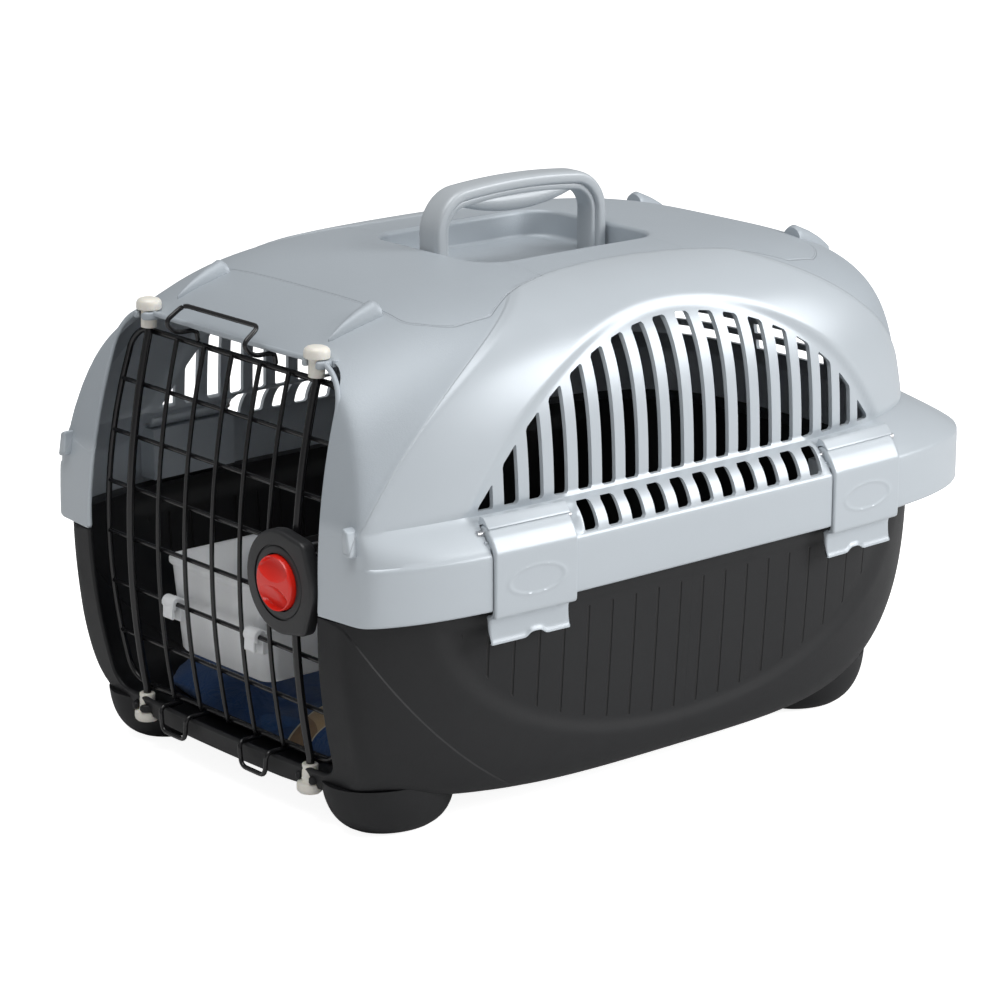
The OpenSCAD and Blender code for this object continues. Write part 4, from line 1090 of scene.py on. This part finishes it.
knob_plastic, tree, shader, grain, grain_bump, rough = plastic("knob_plastic", (0.80, 0.018, 0.008), 0.2, 900, 0.00002, 0.10, coat=0.25)
shader.inputs["Subsurface Weight"].default_value = 0.08
shader.inputs["Subsurface Radius"].default_value = (0.004, 0.0006, 0.0004)


def knob_solid():
    """The knob: a disc whose face is scooped out above and below, which leaves a bow-tie grip across its middle."""
    turn = np.linspace(0, 2 * math.pi, 128, endpoint=False)
    radius = np.r_[np.linspace(0.4, 15.4, 44), 16.1, 16.6, 16.9, 17.0]
    edge = np.r_[np.zeros(44), 0.15, 0.55, 1.1, 1.9]
    x, z = radius[:, None] * np.cos(turn), radius[:, None] * np.sin(turn)
    dish = 1 - ((x / 16.6) ** 2 + ((np.abs(z) - 14.4) / 13.0) ** 2)
    depth = 4.6 * np.maximum(dish, 0) ** 0.8 * (1 - ease(15.0, 16.5, radius))[:, None]
    crown = 0.9 * (radius[:, None] / 17) ** 2
    y = plate_front - 4.4 + crown * 0.6 + depth + edge[:, None]
    face = np.stack([x, y, z], -1)
    back = np.stack([17 * np.cos(turn), np.full(128, plate_front + 4.1), 17 * np.sin(turn)], -1)
    stem = [np.stack([3.9 * np.cos(turn), np.full(128, y1), 3.9 * np.sin(turn)], -1) for y1 in (plate_front + 4.1, lock_back_y - 2.3)]
    rings = np.concatenate([face, back[None], np.stack(stem)])
    points, faces = loft_solid(rings)
    return points + [lock_x, 0, lock_z], faces


knob = make_piece("turning_knob", *knob_solid(), crease=40)
knob.data.materials.append(knob_plastic)
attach(knob, "knob")
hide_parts("lock_knob")

# Bowl: a milky plastic food bowl with a rolled rim, hung inside the door by two hooks over a cross wire.
bowl_w, bowl_d, bowl_h = 108.0, 86.0, 62.0
bowl_row = bar_bottom + 2 * row_pitch
bowl_top = bowl_row + 27
hook_gap = rod_x
hook_x = (12 - rod_x / 3) / 2 + wire_r + 0.8
bowl_x = hook_x - 6
bowl_front = bow_y(row_arc, bowl_row) + wire_r + 2.6
bowl_plastic, tree, shader, grain, grain_bump, rough = plastic("bowl_plastic", (0.88, 0.90, 0.92), 0.38, 1000, 0.00004, 0.05)
shader.inputs["Subsurface Weight"].default_value = 0.35
shader.inputs["Subsurface Radius"].default_value = (0.012, 0.012, 0.013)
shader.inputs["Transmission Weight"].default_value = 0.18


def bowl_ring(draw_in, z):
    """A rounded rectangle at height z, drawn in on all sides."""
    outline = rounded_box_outline(bowl_w - 2 * draw_in, bowl_d - 2 * draw_in, 12 - min(draw_in, 6) * 0.5, 2.0)
    closed = np.concatenate([outline, outline[:1]])
    run = np.r_[0, np.cumsum(np.linalg.norm(np.diff(closed, axis=0), axis=1))]
    at = np.linspace(0, run[-1], 180, endpoint=False)
    flat = np.stack([np.interp(at, run, closed[:, i]) for i in range(2)], -1)
    return np.c_[flat[:, 0] + bowl_x, flat[:, 1] + bowl_front + bowl_d / 2, np.full(180, z)]


low = bowl_top - bowl_h
bowl_profile = [
    (9.0, low), (7.2, low + 0.6), (6.2, low + 2.5), (2.0, bowl_top - 5.0), (0.8, bowl_top - 4.4),
    (0.0, bowl_top - 3.4), (0.0, bowl_top - 0.9), (0.5, bowl_top - 0.2), (1.4, bowl_top), (3.4, bowl_top),
    (4.2, bowl_top - 0.6), (8.2, low + 4.6), (9.4, low + 3.0), (11.4, low + 2.2),
]
bowl = make_piece("hanging_bowl", *loft_solid(np.stack([bowl_ring(*step) for step in bowl_profile])), crease=50)
bowl.data.materials.append(bowl_plastic)
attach(bowl, "food_bowl")
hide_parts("bowl")


def hook_solid(x):
    """A hook: a rounded head over the wire with a tail in front, and a foot that is moulded on to the bowl."""
    y = bow_y(row_arc, bowl_row)
    head = rounded_outline([(y, bowl_row + 0.4, 4.4)], 0.6)
    tail = rounded_outline([(y - 3.1, bowl_row - 1, 1.0), (y - 3.4, bowl_row - 8.0, 1.0), (y - 3.0, bowl_row - 8.4, 1.3)], 0.6)
    foot_shape = rounded_outline([
        (y + 3.4, bowl_row + 1.5, 1.2), (y + 3.2, bowl_row - 11.0, 1.0),
        (bowl_front + 1.2, bowl_row - 11.0, 1.0), (bowl_front + 1.2, bowl_row + 1.5, 1.2),
    ], 0.6)
    parts = []
    for shape, half in ((head, 6.0), (tail, 5.0), (foot_shape, 5.4)):
        points, faces = rounded_prism(shape, -half, half, 0.7)
        parts.append((points[:, [2, 0, 1]] + [x, 0, 0], faces))
    return parts


hook_piece = make_piece("bowl_hook_pair", *hook_solid(hook_x - hook_gap / 2)[0])
for i, x in enumerate((hook_x - hook_gap / 2, hook_x + hook_gap / 2)):
    for j, part in enumerate(hook_solid(x)):
        if i or j:
            carve(hook_piece, *part, action="UNION")
hook_y = bow_y(row_arc, bowl_row)
slot_shape = rounded_outline([(hook_y, bowl_row, 1.75), (hook_y, bowl_row - 16, 1.75)], 0.5)
points, faces = rounded_prism(slot_shape, -70, 70)
carve(hook_piece, points[:, [2, 0, 1]], faces)
hook_piece.data.materials.clear()
hook_piece.data.materials.append(bowl_plastic)
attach(hook_piece, "food_bowl")
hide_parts("bowl_hooks")

# Cushion: a loose floor pad of printed cotton over soft filling, sewn all round and puffed by its filling.
cushion_low, cushion_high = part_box("cushion")
cushion_z0, cushion_z1 = ((c.z - origin[2]) * 1000 for c in (cushion_low, cushion_high))


def cushion_solid():
    """The pad before it is filled: rings that follow the tray's walls, rounded at both edges, then closed inwards."""
    rings = []
    for u in np.r_[np.linspace(0.0, 1.0, 9)]:
        z = cushion_z0 + 1.5 + u * (cushion_z1 - cushion_z0 - 6)
        soft = 11 * (1 - math.sqrt(max(0.0, 1 - abs(2 * u - 1) ** 3)))
        sizes = tray_sizes(np.array([z]), wall + 9 + soft)
        reach_front = 259 - 46 - soft
        ring = cabin_rings(np.array([z]), sizes[0], sizes[1], sizes[2], wall_power, 0.0)[0]
        ring[:, 1] = np.maximum(ring[:, 1], -reach_front)
        rings.append(ring[::4])
    return loft_solid(np.stack(rings))


pad = make_piece("floor_cushion", *cushion_solid())
remesh = pad.modifiers.new("remesh", "REMESH")
remesh.mode = "VOXEL"
remesh.voxel_size = 0.0055


def keep_result(piece):
    """Replaces a piece's mesh by what its modifiers make of it."""
    graph = bpy.context.evaluated_depsgraph_get()
    result = bpy.data.meshes.new_from_object(piece.evaluated_get(graph))
    piece.modifiers.clear()
    piece.data = result


keep_result(pad)
count = len(pad.data.vertices)
before = np.empty(count * 3, np.float32)
pad.data.vertices.foreach_get("co", before)
before = before.reshape(-1, 3)
cloth = pad.modifiers.new("cloth", "CLOTH")
cloth.settings.use_pressure = True
cloth.settings.uniform_pressure_force = 4.0
cloth.settings.effector_weights.gravity = 0.0
cloth.settings.quality = 5
for step in range(1, 21):
    bpy.context.scene.frame_set(step)
keep_result(pad)
after = np.empty(count * 3, np.float32)
pad.data.vertices.foreach_get("co", after)
shift = after.reshape(-1, 3) - before
far = np.linalg.norm(shift, axis=1, keepdims=True)
shift *= np.minimum(1.0, 0.007 / np.maximum(far, 1e-9))
pad.data.vertices.foreach_set("co", (before + shift).ravel())
spots = own_points(pad)
seam_level = (cushion_z0 + cushion_z1) / 2
dimple = np.sin(spots[:, 0] / 21 + 0.6 * np.sin(spots[:, 1] / 37)) * np.sin(spots[:, 1] / 27 + 0.8 * np.sin(spots[:, 0] / 31))
top_side = ease(seam_level, cushion_z1 - 6, spots[:, 2])
spots[:, 2] += 2.2 * dimple * top_side - 2.0
spots[:, 2] += 5.0 * top_side * ease(70, 150, np.abs(spots[:, 0]))
pad.data.vertices.foreach_set("co", (spots * 0.001 + origin).astype(np.float32).ravel())
smooth = pad.modifiers.new("smooth", "SUBSURF")
smooth.levels = smooth.render_levels = 1
pad.data.shade_smooth()

cotton = bpy.data.materials.new("cushion_cotton")
cotton.use_nodes = True
tree = cotton.node_tree
shader = tree.nodes["Principled BSDF"]
place = add_node(tree, "TexCoord").outputs["Object"]
drift = add_node(tree, "Mapping", {"Location": (0.31, 0.12, 0.0), "Scale": (1.0, 1.0, 0.35)}, {"Vector": place})
shape = add_node(tree, "TexNoise", {"Scale": 11.0, "Detail": 1.2, "Roughness": 0.45, "Distortion": 0.9}, {"Vector": drift.outputs[0]})
tan = band(tree, shape.outputs["Fac"], 0.450, 0.446)
edge = sums(tree, "SUBTRACT", band(tree, shape.outputs["Fac"], 0.474, 0.470), tan)
second = add_node(tree, "TexNoise", {"Scale": 17.0, "Detail": 1.0, "Roughness": 0.4, "Distortion": 0.6}, {"Vector": drift.outputs[0]})
brown = sums(tree, "MULTIPLY", band(tree, second.outputs["Fac"], 0.56, 0.565), tan)
sky = band(tree, second.outputs["Fac"], 0.60, 0.604)
print_colour = add_node(tree, "MixRGB", {1: (0.014, 0.065, 0.20, 1.0), 2: (0.022, 0.095, 0.27, 1.0)}, {0: sky})
print_colour = add_node(tree, "MixRGB", {2: (0.62, 0.56, 0.42, 1.0)}, {0: edge, 1: print_colour.outputs[0]})
print_colour = add_node(tree, "MixRGB", {2: (0.46, 0.33, 0.19, 1.0)}, {0: tan, 1: print_colour.outputs[0]})
print_colour = add_node(tree, "MixRGB", {2: (0.27, 0.175, 0.10, 1.0)}, {0: brown, 1: print_colour.outputs[0]})
weave_place = add_node(tree, "SeparateXYZ", links={0: place})
warp = sums(tree, "SINE", sums(tree, "MULTIPLY", sums(tree, "ADD", weave_place.outputs[0], weave_place.outputs[2]), 9000.0))
weft = sums(tree, "SINE", sums(tree, "MULTIPLY", sums(tree, "SUBTRACT", weave_place.outputs[1], weave_place.outputs[2]), 9000.0))
weave = sums(tree, "MULTIPLY", warp, weft)
crease = add_node(tree, "TexNoise", {"Scale": 30.0, "Detail": 4.0, "Roughness": 0.55, "Distortion": 1.2}, {"Vector": place})
height = sums(tree, "ADD", sums(tree, "MULTIPLY", weave, 0.02), crease.outputs["Fac"])
folds = add_node(tree, "Bump", {"Strength": 1.0, "Distance": 0.004}, {"Height": height})
tree.links.new(folds.outputs["Normal"], shader.inputs["Normal"])
thread_shade = {"blend_type": "MULTIPLY", 2: (0.82, 0.82, 0.82, 1.0)}
threads = add_node(tree, "MixRGB", thread_shade, {0: band(tree, weave, -0.2, 1.0), 1: print_colour.outputs[0]})
tree.links.new(threads.outputs[0], shader.inputs["Base Color"])
shader.inputs["Roughness"].default_value = 0.92
shader.inputs["Sheen Weight"].default_value = 0.2
pad.data.materials.clear()
pad.data.materials.append(cotton)
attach(pad, "cabin")
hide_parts("cushion")
